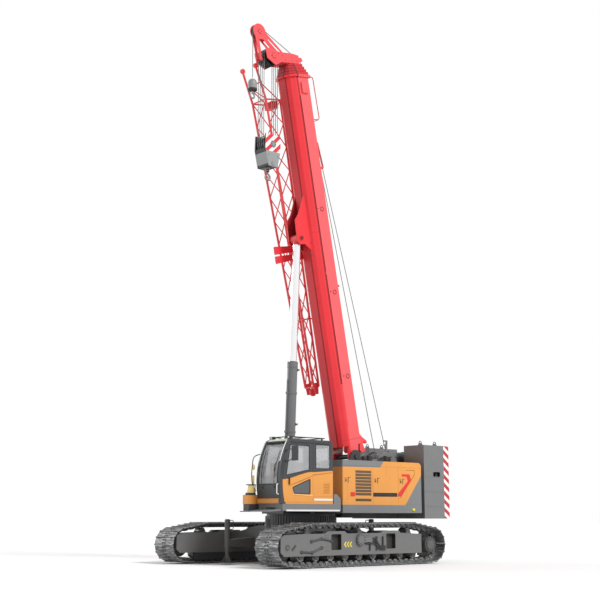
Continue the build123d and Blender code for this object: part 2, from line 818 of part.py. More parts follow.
def side_cut(points, inset=0):
    """Prism through the left wall."""
    with BuildPart() as prism:
        with BuildSketch(side(CAB_OUTER + 50)):
            Polygon(*points, align=None)
            if inset:
                offset(amount=-inset, kind=Kind.INTERSECTION, mode=Mode.REPLACE)
        extrude(amount=side_reach)
    return prism.part


def front_cut(inset=0):
    """Prism through the windscreen opening."""
    y0, y1, z0, z1 = windscreen_box
    with BuildPart() as prism:
        with BuildSketch(Plane.YZ.offset(1650)):
            with Locations(((y0 + y1) / 2, (z0 + z1) / 2)):
                RectangleRounded(y1 - y0 - 2 * inset, z1 - z0 - 2 * inset, 60)
        extrude(amount=700)
    return prism.part


def right_cut(inset=0):
    """Prism through the right wall's window."""
    with BuildPart() as prism:
        with BuildSketch(side(CAB_INNER + 100)):
            Polygon((1700, 3150), (420, 3150), (420, 2350), (1850, 2350), align=None)
            if inset:
                offset(amount=-inset, kind=Kind.INTERSECTION, mode=Mode.REPLACE)
        extrude(amount=side_reach)
    return prism.part


def rear_cut(inset=0):
    """Prism through the rear wall's window."""
    with BuildPart() as prism:
        with BuildSketch(Plane.YZ.offset(CAB_REAR - 50)):
            with Locations(((CAB_INNER + CAB_OUTER) / 2, 2850)):
                RectangleRounded(640 - 2 * inset, 560 - 2 * inset, 40)
        extrude(amount=150)
    return prism.part


cab_skin = cab_shell_part(CAB_WALL)
cab_pane_skin = cab_shell_part(GLASS, 10)
with BuildPart() as door_prism:
    with BuildSketch(side(CAB_OUTER + 50)):
        add(door_outline())
    extrude(amount=50 + CAB_WALL + 1)
with BuildPart() as door_prism_small:
    with BuildSketch(side(CAB_OUTER + 50)):
        add(door_outline(RUN))
    extrude(amount=50 + CAB_WALL + 1)

with BuildPart() as cab_shell:
    add(cab_skin.part)
    add(door_prism.part, mode=Mode.SUBTRACT)
    add(side_cut(rear_window_points), mode=Mode.SUBTRACT)
    add(front_cut(), mode=Mode.SUBTRACT)
    add(right_cut(), mode=Mode.SUBTRACT)
    add(rear_cut(), mode=Mode.SUBTRACT)
    # Bumper along the front's foot, drip rail over the door, and louvres in the rear panel
    with BuildSketch(side(CAB_OUTER)):
        Polygon(
            (CAB_TOE - 30, CAB_FLOOR),
            (CAB_TOE + 10 + BUMPER_DEPTH, CAB_FLOOR + 20),
            (CAB_TOE + 20 + BUMPER_DEPTH, CAB_FLOOR + BUMPER_HEIGHT - 20),
            (CAB_TOE + 20, CAB_FLOOR + BUMPER_HEIGHT),
            (CAB_TOE - 30, CAB_FLOOR + BUMPER_HEIGHT),
            align=None,
        )
    extrude(amount=CAB_OUTER - CAB_INNER)
    with BuildSketch(side(CAB_OUTER + 20)):
        with Locations((1000, CAB_ROOF - 75)):
            Rectangle(1420, 22)
    extrude(amount=25)
    for index in range(5):
        with BuildSketch(Plane.YZ.offset(340)):
            with Locations((CAB_OUTER, 1920 + 50 * index)):
                Polygon((1, 0), (1, 30), (-14, 0), align=None)
        extrude(amount=180, mode=Mode.SUBTRACT)

# Mirrors: each on an arm from a boss on the cab's front corner
with BuildPart() as cab_mirrors:
    for boss_x, wall, hand, x, y, width in (
        # boss, wall and its outward direction, then the mirror's place and width
        (1900, CAB_OUTER, 1, MIRROR_X, MIRROR_Y, 210),
        (1885, CAB_INNER, -1, 2290, CAB_INNER - 60, 150),
    ):
        with BuildSketch(Plane.YZ.offset(x)):
            with Locations((y, MIRROR_Z)):
                RectangleRounded(width, 400, 40)
        extrude(amount=35, both=True)
        with BuildSketch(side(wall + hand * SEAT)):
            with Locations((boss_x, MIRROR_Z + 60)):
                Circle(26)
        extrude(amount=-hand * 30)
        add(bar(Vector(boss_x, wall + hand * 18, MIRROR_Z + 60), Vector(x, y, MIRROR_Z + 60), 14))

# Rails over the roof, on four posts
with BuildPart() as roof_rails:
    for y in (CAB_INNER + 120, CAB_OUTER - 140):
        with BuildSketch(side(y + 30)):
            with Locations((1030, CAB_ROOF + 62)):
                Rectangle(1300, 24)
            for x in (480, 1580):
                with Locations((x, CAB_ROOF + SEAT)):
                    Rectangle(40, 60, align=(Align.CENTER, Align.MIN))
        extrude(amount=30)
    with BuildSketch(level(CAB_ROOF + 50)):
        for x in (400, 1040, 1660):
            with Locations((x, (CAB_INNER + CAB_OUTER) / 2)):
                Rectangle(36, CAB_OUTER - CAB_INNER - 260)
    extrude(amount=24)

with BuildPart() as cab_door:
    add(cab_skin.part)
    add(door_prism_small.part, mode=Mode.INTERSECT)
    add(side_cut(door_window_points), mode=Mode.SUBTRACT)
    add(side_cut(door_low_window_points), mode=Mode.SUBTRACT)
    with BuildSketch(side(CAB_OUTER + 35)):
        with Locations((1790, 2200)):
            RectangleRounded(34, 190, 12)
    extrude(amount=18)
    with BuildSketch(side(CAB_OUTER + 20)):
        with Locations((1790, 2130), (1790, 2270)):
            Rectangle(26, 26)
    extrude(amount=25)


def pane(cutter):
    """Glass pane where a cutter meets the glass layer."""
    with BuildPart() as glass:
        add(cab_pane_skin.part)
        add(cutter, mode=Mode.INTERSECT)
    return glass.part


with BuildPart() as cab_windows:
    add(pane(side_cut(rear_window_points, SEAT)))
    add(pane(front_cut(SEAT)))
    add(pane(right_cut(SEAT)))
    add(pane(rear_cut(SEAT)))

with BuildPart() as cab_door_glass:
    add(pane(side_cut(door_window_points, SEAT)))
    add(pane(side_cut(door_low_window_points, SEAT)))

with BuildPart() as cab_seat:
    seat_y = (CAB_INNER + CAB_OUTER) / 2
    with BuildSketch(side(seat_y)):
        Polygon(
            (700, CAB_FLOOR + CAB_WALL),
            (700, 2080),
            (640, 2080),
            (540, 2850),
            (420, 2830),
            (480, 2020),
            (560, 2000),
            (600, CAB_FLOOR + CAB_WALL),
            align=None,
        )
        Polygon((600, 1990), (1120, 2030), (1140, 2140), (560, 2110), align=None)
    extrude(amount=240, both=True)
    for y in (seat_y - 330, seat_y + 290):
        with BuildSketch(side(y + 60)):
            Polygon(
                (620, CAB_FLOOR + CAB_WALL),
                (620, 2280),
                (1150, 2330),
                (1180, 2230),
                (760, 2200),
                (760, CAB_FLOOR + CAB_WALL),
                align=None,
            )
        extrude(amount=60)

# Hood: a hollow box with a rounded rear top corner and three doors along its left side
def hood_outline(inset=0):
    """Side outline of the hood."""
    with BuildSketch() as outline:
        with BuildLine():
            Polyline(
                (HOOD_REAR, HOOD_BOTTOM),
                (HOOD_FRONT, HOOD_BOTTOM),
                (HOOD_FRONT, HOOD_TOP),
                (HOOD_REAR + 120, HOOD_TOP),
            )
            RadiusArc((HOOD_REAR + 120, HOOD_TOP), (HOOD_REAR, HOOD_TOP - 120), -120)
            Line((HOOD_REAR, HOOD_TOP - 120), (HOOD_REAR, HOOD_BOTTOM))
        make_face()
        if inset:
            offset(amount=-inset, kind=Kind.INTERSECTION, mode=Mode.REPLACE)
    return outline.sketch


door_bottom = HOOD_BOTTOM + 20
door_top = HOOD_TOP - 150


def hood_door(front, rear):
    """Door panel, flush in its opening."""
    with BuildPart() as door:
        with BuildSketch(side(HOOD_OUTER)):
            with Locations(((front + rear) / 2, (door_bottom + door_top) / 2)):
                Rectangle(front - rear - DOOR_GAP, door_top - door_bottom - DOOR_GAP)
        extrude(amount=HOOD_WALL)
        if front > LOUVRE_FRONT > rear:
            louvre_floors = [LOUVRE_BOTTOM + LOUVRE_PITCH * index for index in range(LOUVRE_COUNT)]
            with BuildSketch(Plane.YZ.offset(LOUVRE_REAR)):
                for floor in (LOW_LOUVRE, *louvre_floors):
                    with Locations((HOOD_OUTER, floor)):
                        Polygon(
                            (1, 0),
                            (1, LOUVRE_PITCH - 22),
                            (-LOUVRE_DEPTH, 6),
                            (-LOUVRE_DEPTH, 0),
                            align=None,
                        )
            extrude(amount=LOUVRE_FRONT - LOUVRE_REAR, mode=Mode.SUBTRACT)
        with BuildSketch(side(HOOD_OUTER + 14)):
            with Locations((front - 90, 2290)):
                RectangleRounded(60, 130, 20)
        extrude(amount=15)
    return door


with BuildPart() as engine_hood:
    with BuildSketch(side(HOOD_OUTER)):
        add(hood_outline())
    extrude(amount=HOOD_OUTER - HOOD_INNER)
    with BuildSketch(side(HOOD_OUTER - HOOD_WALL - 40)):
        add(hood_outline(HOOD_WALL))
    extrude(amount=HOOD_OUTER - HOOD_INNER - 2 * HOOD_WALL - 40, mode=Mode.SUBTRACT)
    for front, rear in zip(DOOR_SEAMS[:-1], DOOR_SEAMS[1:]):
        with BuildSketch(side(HOOD_OUTER)):
            with Locations(((front + rear) / 2, (door_bottom + door_top) / 2)):
                Rectangle(front - rear, door_top - door_bottom)
        extrude(amount=HOOD_WALL + SEAT, mode=Mode.SUBTRACT)
        with BuildSketch(side(HOOD_OUTER)):
            with Locations(((front + rear) / 2, (door_bottom + door_top) / 2)):
                Rectangle(front - rear - 140, door_top - door_bottom - 100)
        extrude(amount=HOOD_WALL + 60, mode=Mode.SUBTRACT)

hood_doors = {
    f"hood_door_{number}": hood_door(front, rear)
    for number, (front, rear) in enumerate(zip(DOOR_SEAMS[:-1], DOOR_SEAMS[1:]), start=1)
}

with BuildPart() as engine_block:
    with BuildSketch(level(HOOD_BOTTOM + HOOD_WALL)):
        with Locations((-1900, (HOOD_INNER + HOOD_OUTER) / 2 - 40)):
            Rectangle(1500, 620)
    extrude(amount=850)

# Tank housing on the right: panel joints and three steps pressed in, filler caps on top
with BuildPart() as right_hood:
    with BuildSketch(side(-HOOD_INNER)):
        add(hood_outline())
    extrude(amount=HOOD_OUTER - HOOD_INNER)
    with BuildSketch(side(-HOOD_OUTER + 8)):
        for x in DOOR_SEAMS[1:-1]:
            with Locations((x, (HOOD_BOTTOM + HOOD_TOP) / 2)):
                Rectangle(DOOR_GAP, HOOD_TOP - HOOD_BOTTOM + 2)
    extrude(amount=10, mode=Mode.SUBTRACT)
    with BuildSketch(side(-HOOD_OUTER + 120)):
        for z in (1820, 2180, 2540):
            with Locations((-420, z)):
                RectangleRounded(300, 150, 30)
    extrude(amount=125, mode=Mode.SUBTRACT)
    with BuildSketch(level(HOOD_TOP - 1)):
        for x in (-900, -1900):
            with Locations((x, -HOOD_OUTER + 260)):
                Circle(80)
    extrude(amount=46)

# Counterweight: two towers with bevelled rear corners on a common base
weight_front = -FRAME_REAR - SEAT


def weight_outline(inset=0):
    """Plan of one tower."""
    with BuildSketch() as outline:
        Polygon(
            (weight_front, WEIGHT_INNER),
            (weight_front, WEIGHT_OUTER),
            (WEIGHT_REAR + BEVEL_LENGTH, WEIGHT_OUTER),
            (WEIGHT_REAR, WEIGHT_OUTER - BEVEL_WIDTH),
            (WEIGHT_REAR, WEIGHT_INNER),
            align=None,
        )
        if inset:
            offset(amount=-inset, kind=Kind.INTERSECTION, mode=Mode.REPLACE)
    return outline.sketch


with BuildPart() as weight_tower:
    with BuildSketch(level(WEIGHT_BOTTOM)):
        add(weight_outline())
    extrude(amount=WEIGHT_TOP - WEIGHT_BOTTOM)
    # Joints between the cast slabs
    for z in (WEIGHT_BASE_TOP, *SLAB_SEAMS):
        with BuildSketch(level(z)):
            add(weight_outline(-SEAM_CUT))
            add(weight_outline(SEAM_CUT), mode=Mode.SUBTRACT)
        extrude(amount=SEAM_CUT, mode=Mode.SUBTRACT)
    # Lifting pocket with its lug, and two lugs on top
    with BuildSketch(side(WEIGHT_OUTER)):
        with Locations((POCKET_X, SLAB_SEAMS[-1] + POCKET_HEIGHT / 2 + 20)):
            RectangleRounded(POCKET_LENGTH, POCKET_HEIGHT, 40)
    extrude(amount=POCKET_DEPTH, mode=Mode.SUBTRACT)
    with BuildSketch(side(WEIGHT_OUTER - 10)):
        with Locations((POCKET_X, SLAB_SEAMS[-1] + 20)):
            Polygon((-60, 0), (60, 0), (30, 90), (-30, 90), align=None)
    extrude(amount=POCKET_DEPTH - 10)
    for x in (WEIGHT_REAR + 300, weight_front - 300):
        with BuildSketch(side((WEIGHT_INNER + WEIGHT_OUTER) / 2 + 25)):
            with Locations((x, WEIGHT_TOP)):
                Polygon((-90, -1), (90, -1), (45, 85), (-45, 85), align=None)
            with Locations((x, WEIGHT_TOP + 42)):
                Circle(22, mode=Mode.SUBTRACT)
        extrude(amount=50)

with BuildPart() as counterweight:
    add(weight_tower.part)
    mirror(weight_tower.part, about=Plane.XZ)
    with BuildSketch(level(WEIGHT_BOTTOM)):
        with Locations(((weight_front + WEIGHT_REAR) / 2, 0)):
            Rectangle(weight_front - WEIGHT_REAR, 2 * WEIGHT_INNER + 20)
    extrude(amount=WEIGHT_BASE_TOP - WEIGHT_BOTTOM)

# Winches: two plates carry the drums between them
with BuildPart() as winch_frame:
    for y in (WEB_INNER, -WEB_INNER - WINCH_PLATE):
        with BuildSketch(side(y + WINCH_PLATE)):
            Polygon(
                (WEB_MID_X, WEB_MID_TOP),
                (MAIN_DRUM_X + 500, DRUM_Z + 100),
                (MAIN_DRUM_X + 250, WINCH_TOP),
                (AUX_DRUM_X - 250, WINCH_TOP),
                (AUX_DRUM_X - 380, DRUM_Z + 50),
                (AUX_DRUM_X - 250, DRUM_Z - 550),
                (-FRAME_REAR, WEB_REAR_TOP),
                align=None,
            )
        extrude(amount=WINCH_PLATE)
    for x in (MAIN_DRUM_X, AUX_DRUM_X):
        with BuildSketch(side(WEB_INNER)):
            with Locations((x, DRUM_Z)):
                Circle(DRUM_SHAFT_RADIUS)
        extrude(amount=2 * WEB_INNER)
        with BuildSketch(side(WEB_INNER + WINCH_PLATE + MOTOR_LENGTH)):
            with Locations((x, DRUM_Z)):
                Circle(MOTOR_RADIUS)
        extrude(amount=MOTOR_LENGTH)
        with BuildSketch(side(-WEB_INNER - WINCH_PLATE)):
            with Locations((x, DRUM_Z)):
                RegularPolygon(MOTOR_RADIUS, 8)
        extrude(amount=MOTOR_LENGTH / 2)
    # Cross beam ahead of the drums with a post that keeps the ropes in line
    with BuildSketch(side(WEB_INNER + 1)):
        with Locations((MAIN_DRUM_X + 500, DRUM_Z)):
            Polygon((-30, 60), (90, -40), (150, -200), (70, -240), (-40, -50), align=None)
    extrude(amount=2 * WEB_INNER + 2)
    with BuildSketch(side(POST_Y + 20)):
        with Locations((POST_X, WINCH_TOP)):
            Polygon(
                (50, -80),
                (-30, -80),
                (-50, 340),
                (100, 340),
                (100, 300),
                (0, 300),
                (5, 220),
                (100, 220),
                (100, 180),
                (15, 180),
                align=None,
            )
    extrude(amount=40)


def drum(x):
    """Winch drum with two flanges, hollow on its shaft."""
    with BuildPart() as winch:
        with BuildSketch(side(DRUM_HALF_WIDTH)):
            with Locations((x, DRUM_Z)):
                Circle(DRUM_RADIUS)
        extrude(amount=2 * DRUM_HALF_WIDTH)
        for y in (DRUM_HALF_WIDTH, -DRUM_HALF_WIDTH + DRUM_FLANGE):
            with BuildSketch(side(y)):
                with Locations((x, DRUM_Z)):
                    Circle(DRUM_FLANGE_RADIUS)
            extrude(amount=DRUM_FLANGE)
        with BuildSketch(side(DRUM_HALF_WIDTH)):
            with Locations((x, DRUM_Z)):
                Circle(DRUM_SHAFT_RADIUS + PIN_FIT)
        extrude(amount=2 * DRUM_HALF_WIDTH, mode=Mode.SUBTRACT)
    return winch


main_drum = drum(MAIN_DRUM_X)
aux_drum = drum(AUX_DRUM_X)


# Boom: five nested tubes of bent plate with a flat top, flat sides and a many-sided belly
def tube_outline(number, grow=0):
    """Outline of a boom section, counted from 1 at the base, grown outwards."""
    half = BASE_WIDTH / 2
    with BuildSketch() as outline:
        Polygon(
            (half, BASE_TOP),
            (-half, BASE_TOP),
            (-half, -BEND_DROP),
            (-SHOULDER_HALF, -SHOULDER_DROP),
            (-BELLY_HALF, -BASE_BELLY),
            (BELLY_HALF, -BASE_BELLY),
            (SHOULDER_HALF, -SHOULDER_DROP),
            (half, -BEND_DROP),
            align=None,
        )
        if number > 1 or grow:
            offset(amount=grow - SECTION_STEP * (number - 1), kind=Kind.INTERSECTION, mode=Mode.REPLACE)
    return outline.sketch


def section_tube(number):
    """Solid tube with a collar at its mouth."""
    start = section_starts[number - 1]
    end = section_ends[number - 1]
    with BuildPart() as section:
        with BuildSketch(station(start)):
            add(tube_outline(number))
        extrude(amount=end - start)
        with BuildSketch(station(end - COLLAR_THICK)):
            add(tube_outline(number, COLLAR_RISE))
        extrude(amount=COLLAR_THICK)
    return section.part


def section_bore(number):
    """Space inside a section."""
    start = section_starts[number - 1]
    end = section_ends[number - 1]
    with BuildPart() as bore:
        with BuildSketch(station(start)):
            add(tube_outline(number, -SECTION_WALL))
        extrude(amount=end - start)
    return bore.part


def section_pads(number):
    """Guide pads at the mouth of a section, on the flats of the next one."""
    pad_reach = SECTION_STEP - SECTION_WALL + 2
    half = BASE_WIDTH / 2 - SECTION_STEP * number
    top = BASE_TOP - SECTION_STEP * number
    with BuildPart() as pads:
        with BuildSketch(station(section_ends[number - 1] - PAD_LENGTH)):
            with Locations((half - PAD_WIDTH, top + SEAT), (-half + PAD_WIDTH, top + SEAT)):
                Rectangle(PAD_WIDTH, pad_reach, align=(Align.CENTER, Align.MIN))
            with Locations((half + SEAT, SEAM + 40)):
                Rectangle(pad_reach, PAD_WIDTH, align=Align.MIN)
            with Locations((-half - SEAT, SEAM + 40)):
                Rectangle(pad_reach, PAD_WIDTH, align=(Align.MAX, Align.MIN))
        extrude(amount=PAD_LENGTH)
    return pads.part


section_ends = [BASE_END + COLLAR_PITCH * index for index in range(SECTION_COUNT)]
section_starts = [TUBE_START + TAIL_STEP * index for index in range(SECTION_COUNT)]

with BuildPart() as boom_base:
    add(section_tube(1))
    for y in (BASE_WIDTH / 2, -BASE_WIDTH / 2 + 60):
        with BuildSketch(boom_side(y)):
            with BuildLine():
                ear_run = Polyline(
                    (0, -FOOT_EAR_RADIUS),
                    (TUBE_START + 400, SEAM - 60),
                    (TUBE_START + 400, BASE_TOP),
                    (0, FOOT_EAR_RADIUS),
                )
                ThreePointArc(ear_run @ 1, (-FOOT_EAR_RADIUS, 0), ear_run @ 0)
            make_face()
        extrude(amount=60)
    for y in (BASE_WIDTH / 2 + 45, -BASE_WIDTH / 2 + 60):
        with BuildSketch(boom_side(y)):
            Circle(FOOT_EAR_RADIUS - 30)
        extrude(amount=105)
    with BuildSketch(boom_side(BASE_WIDTH / 2 + 46)):
        Circle(FOOT_PIN_RADIUS + PIN_FIT)
    extrude(amount=BASE_WIDTH + 92, mode=Mode.SUBTRACT)
    cheek_inner = LUFF_EYE_WIDTH / 2 + CHEEK_GAP
    for y in (cheek_inner + CHEEK, -cheek_inner):
        with BuildSketch(boom_side(y)):
            Polygon(
                (LUFF_PIN_ALONG + 1690, SEAM - 100),
                (LUFF_PIN_ALONG + 740, LUFF_PIN_UP + 40),
                (LUFF_PIN_ALONG + 540, LUFF_PIN_UP - 140),
                (LUFF_PIN_ALONG - 70, LUFF_PIN_UP - 170),
                (LUFF_PIN_ALONG - 180, LUFF_PIN_UP - 80),
                (LUFF_PIN_ALONG - 180, LUFF_PIN_UP + 120),
                (LUFF_PIN_ALONG - 460, SEAM - 200),
                align=None,
            )
            with Locations((LUFF_PIN_ALONG, LUFF_PIN_UP)):
                Circle(LUFF_PIN_RADIUS + 100)
        extrude(amount=CHEEK)
    for y in (cheek_inner + CHEEK + PIN_CAP, -cheek_inner - CHEEK):
        with BuildSketch(boom_side(y)):
            with Locations((LUFF_PIN_ALONG, LUFF_PIN_UP)):
                Circle(LUFF_PIN_RADIUS + 30)
        extrude(amount=PIN_CAP)
    # Rail along the seam of the two half shells, in lengths that stop short of the jib's brackets
    right_ends = [RAIL_START]
    for along in BRACKET_STATIONS:
        right_ends += [along - 50, along + BRACKET_THICK + 50]
    right_ends.append(RAIL_END)
    left_ends = (RAIL_START, RAIL_BREAK, RAIL_BREAK + 90, RAIL_END)
    for y, ends in ((BASE_WIDTH / 2 + RAIL_DEPTH, left_ends), (-BASE_WIDTH / 2, right_ends)):
        with BuildSketch(boom_side(y)):
            for start, end in zip(ends[::2], ends[1::2]):
                with Locations(((start + end) / 2, SEAM)):
                    Rectangle(end - start, RAIL_HEIGHT)
        extrude(amount=RAIL_DEPTH)
    # Valve box near the head, hooks at the foot, and rope guides on the back
    with BuildSketch(boom_side(BASE_WIDTH / 2 + VALVE_BOX_DEPTH)):
        with Locations((VALVE_BOX_ALONG, VALVE_BOX_UP)):
            RectangleRounded(330, 250, 30)
    extrude(amount=VALVE_BOX_DEPTH)
    for y in (-FOOT_HOOK_Y, FOOT_HOOK_Y + 40):
        with BuildSketch(boom_side(y)):
            Polygon(
                (520, BASE_TOP - 8),
                (520, BASE_TOP + 30),
                (230, BASE_TOP + 90),
                (60, BASE_TOP + 80),
                (40, BASE_TOP - 90),
                (110, BASE_TOP - 90),
                (150, BASE_TOP - 8),
                align=None,
            )
        extrude(amount=40)
    for along in ROPE_GUIDES:
        with BuildSketch(station(along)):
            for y in (130, -130):
                with Locations((y, BASE_TOP - 2)):
                    Rectangle(24, GUIDE_RISE + 2, align=(Align.CENTER, Align.MIN))
            with Locations((0, BASE_TOP + GUIDE_RISE)):
                Rectangle(320, 34)
        extrude(amount=60)
    add(section_bore(1), mode=Mode.SUBTRACT)
    add(section_pads(1))


def boom_section(number):
    """Telescoping section."""
    with BuildPart() as section:
        add(section_tube(number))
        add(section_bore(number), mode=Mode.SUBTRACT)
        if number < SECTION_COUNT:
            add(section_pads(number))
    return section


sections = {f"boom_section_{number}": boom_section(number) for number in range(2, SECTION_COUNT + 1)}

# Head: two side plates on the last section carry the sheaves and the rooster arm
head_start = section_ends[-1]
head_front = head_start + HEAD_LENGTH
head_outline_points = (
    (head_start, -520),
    (head_start, 200),
    (head_start + 250, 200),
    (head_front - 10, -40),
    (head_front, -560),
    (SHEAVE_ALONG + 230, SHEAVE_UP - 100),
    (SHEAVE_ALONG + 190, SHEAVE_UP - 280),
    (SHEAVE_ALONG - 80, SHEAVE_UP - 260),
    (SHEAVE_ALONG - 280, SHEAVE_UP + 40),
)
with BuildPart() as boom_head:
    for y in (HEAD_INNER + HEAD_PLATE, -HEAD_INNER):
        with BuildSketch(boom_side(y)):
            Polygon(*head_outline_points, align=None)
        extrude(amount=HEAD_PLATE)
    with BuildSketch(station(head_start)):
        with Locations((0, -120)):
            Rectangle(2 * HEAD_INNER + 2, 600)
    extrude(amount=60)
    with BuildSketch(boom_side(HEAD_INNER + HEAD_PLATE)):
        with Locations((SHEAVE_ALONG, SHEAVE_UP)):
            Circle(SHEAVE_PIN_RADIUS)
    extrude(amount=2 * (HEAD_INNER + HEAD_PLATE))
    leg_foot_along = SHEAVE_ALONG - 60
    leg_foot_up = SHEAVE_UP - SHEAVE_RADIUS - 100
    for y in (ROOSTER_INNER + ROOSTER_PLATE, -ROOSTER_INNER):
        with BuildSketch(boom_side(y)):
            Polygon(
                (head_front, -180),
                (head_front, -560),
                (ROOSTER_ALONG - 10, ROOSTER_UP - 130),
                (ROOSTER_ALONG + 60, ROOSTER_UP + 150),
                align=None,
            )
            with Locations((ROOSTER_ALONG, ROOSTER_UP)):
                Circle(ROOSTER_PLATE_RADIUS)
            # The front leg comes down ahead of the main sheaves and ends in an eye
            Polygon(
                (ROOSTER_ALONG - 60, ROOSTER_UP - 60),
                (ROOSTER_ALONG - 40, ROOSTER_UP - 200),
                (leg_foot_along, leg_foot_up - 45),
                (leg_foot_along, leg_foot_up + 40),
                align=None,
            )
            with Locations((leg_foot_along, leg_foot_up)):
                Circle(LEG_EYE_RADIUS)
            Polygon(
                (head_front + 70, -330),
                (head_front + 70, -520),
                (head_front + 370, -850),
                (head_front + 420, -750),
                align=None,
                mode=Mode.SUBTRACT,
            )
            with Locations((leg_foot_along, leg_foot_up)):
                Circle(24, mode=Mode.SUBTRACT)
        extrude(amount=ROOSTER_PLATE)
    with BuildSketch(boom_side(HEAD_INNER + 2)):
        with Locations((head_front + 5, -345)):
            Rectangle(45, 390, align=(Align.MAX, Align.CENTER))
        with Locations((head_start, 185)):
            Rectangle(245, 30, align=(Align.MIN, Align.CENTER))
    extrude(amount=2 * HEAD_INNER + 4)
    with BuildSketch(boom_side(ROOSTER_INNER + ROOSTER_PLATE)):
        with Locations((ROOSTER_ALONG, ROOSTER_UP)):
            Circle(ROOSTER_PIN_RADIUS)
    extrude(amount=2 * (ROOSTER_INNER + ROOSTER_PLATE))
    for y in (ROPE_LUG_Y + ROOSTER_PLATE, -ROPE_LUG_Y):
        with BuildSketch(boom_side(y)):
            Polygon(
                (head_start + 40, 190),
                (head_start + 230, 190),
                (head_start + 260, 480),
                (head_start + 150, 520),
                align=None,
            )
        extrude(amount=ROOSTER_PLATE)
    with BuildSketch(boom_side(ROPE_LUG_Y + ROOSTER_PLATE)):
        with Locations((head_start + 190, 430)):
            Circle(25)
    extrude(amount=2 * (ROPE_LUG_Y + ROOSTER_PLATE))

with BuildPart() as head_sheaves:
    for index in range(SHEAVE_COUNT):
        y = (index - (SHEAVE_COUNT - 1) / 2) * SHEAVE_PITCH
        with BuildSketch(boom_side(y)):
            with Locations((SHEAVE_ALONG, SHEAVE_UP)):
                Circle(SHEAVE_RADIUS)
                Circle(SHEAVE_PIN_RADIUS + SEAT, mode=Mode.SUBTRACT)
        extrude(amount=SHEAVE_THICK / 2, both=True)
    with BuildSketch(boom_side(0)):
        with Locations((ROOSTER_ALONG, ROOSTER_UP)):
            Circle(ROOSTER_RADIUS)
            Circle(ROOSTER_PIN_RADIUS + SEAT, mode=Mode.SUBTRACT)
    extrude(amount=ROOSTER_INNER - SEAT, both=True)

# Luffing cylinder, drawn along its own axis
luff_base = Vector(LUFF_BASE_X, 0, LUFF_BASE_Z)
luff_top = on_boom(LUFF_PIN_ALONG, LUFF_PIN_UP)
luff_axis = (luff_top - luff_base).normalized()
luff_length = (luff_top - luff_base).length
rod_length = luff_length - BARREL_LENGTH + ROD_OVERLAP


def luff_station(along):
    """Sketch plane across the cylinder."""
    return Plane(origin=luff_base + luff_axis * along, x_dir=(0, 1, 0), z_dir=luff_axis)


with BuildPart() as luff_barrel:
    with BuildSketch(side(LUFF_EYE_WIDTH / 2)):
        with Locations((LUFF_BASE_X, LUFF_BASE_Z)):
            Circle(LUFF_EYE_RADIUS)
    extrude(amount=LUFF_EYE_WIDTH)
    with BuildSketch(luff_station(LUFF_EYE_RADIUS * 0.5)):
        Circle(LUFF_EYE_RADIUS - 10)
    extrude(amount=LUFF_EYE_RADIUS)
    with BuildSketch(luff_station(LUFF_EYE_RADIUS + 20)):
        Circle(BARREL_RADIUS - 10)
    extrude(amount=BARREL_LENGTH - LUFF_EYE_RADIUS - 20)
    with BuildSketch(luff_station(BARREL_LENGTH - GLAND_LENGTH)):
        Circle(BARREL_RADIUS)
    extrude(amount=GLAND_LENGTH)
    for along in (900, 2000, 3100):
        with BuildSketch(luff_station(along)):
            Circle(BARREL_RADIUS + 4)
            with Locations((0, -BARREL_RADIUS - 14)):
                Rectangle(70, 50)
        extrude(amount=50)
    with BuildSketch(luff_station(600)):
        with Locations((0, -BARREL_RADIUS - 20)):
            Circle(16)
    extrude(amount=2900)
    with BuildSketch(luff_station(200)):
        Circle(BARREL_BORE)
    extrude(amount=BARREL_LENGTH - GLAND_LENGTH - 200, mode=Mode.SUBTRACT)
    with BuildSketch(luff_station(BARREL_LENGTH - GLAND_LENGTH)):
        Circle(ROD_RADIUS + PIN_FIT)
    extrude(amount=GLAND_LENGTH, mode=Mode.SUBTRACT)
    with BuildSketch(side(LUFF_EYE_WIDTH / 2)):
        with Locations((LUFF_BASE_X, LUFF_BASE_Z)):
            Circle(LUFF_PIN_RADIUS + PIN_FIT)
    extrude(amount=LUFF_EYE_WIDTH, mode=Mode.SUBTRACT)

with BuildPart() as luff_rod:
    with BuildSketch(boom_side(LUFF_EYE_WIDTH / 2)):
        with Locations((LUFF_PIN_ALONG, LUFF_PIN_UP)):
            Circle(LUFF_EYE_RADIUS)
    extrude(amount=LUFF_EYE_WIDTH)
    with BuildSketch(luff_station(luff_length - rod_length)):
        Circle(ROD_RADIUS)
    extrude(amount=rod_length - 60)
    with BuildSketch(luff_station(luff_length - rod_length)):
        Circle(PISTON_RADIUS)
    extrude(amount=150)

# Hook block on eight falls, and the single-line ball with its hook
sheave_centre = on_boom(SHEAVE_ALONG, SHEAVE_UP)
rooster_centre = on_boom(ROOSTER_ALONG, ROOSTER_UP)
fall_offset = SHEAVE_RADIUS + ROPE_RADIUS + SEAT
with BuildPart() as main_falls:
    with BuildSketch(level(BLOCK_SHEAVE_Z)):
        with Locations((sheave_centre.X, 0)):
            with GridLocations(2 * fall_offset, SHEAVE_PITCH, 2, SHEAVE_COUNT):
                Circle(ROPE_RADIUS)
    extrude(amount=sheave_centre.Z - BLOCK_SHEAVE_Z)


def hook_part(x, top, size, thick):
    """Single hook hanging from a shank, its bowl open to the front."""
    bowl = size * 0.5
    with BuildPart() as hook:
        with BuildSketch(side(0)):
            with Locations((x, top - size * 1.25)):
                Circle(size)
                Circle(bowl, mode=Mode.SUBTRACT)
            with Locations((x + size * 0.75, top - size * 0.72)):
                Rectangle(size * 0.85, size * 0.9, mode=Mode.SUBTRACT)
            with Locations((x, top)):
                Rectangle(size * 0.5, size * 0.9, align=(Align.CENTER, Align.MAX))
        extrude(amount=thick / 2, both=True)
    return hook.part


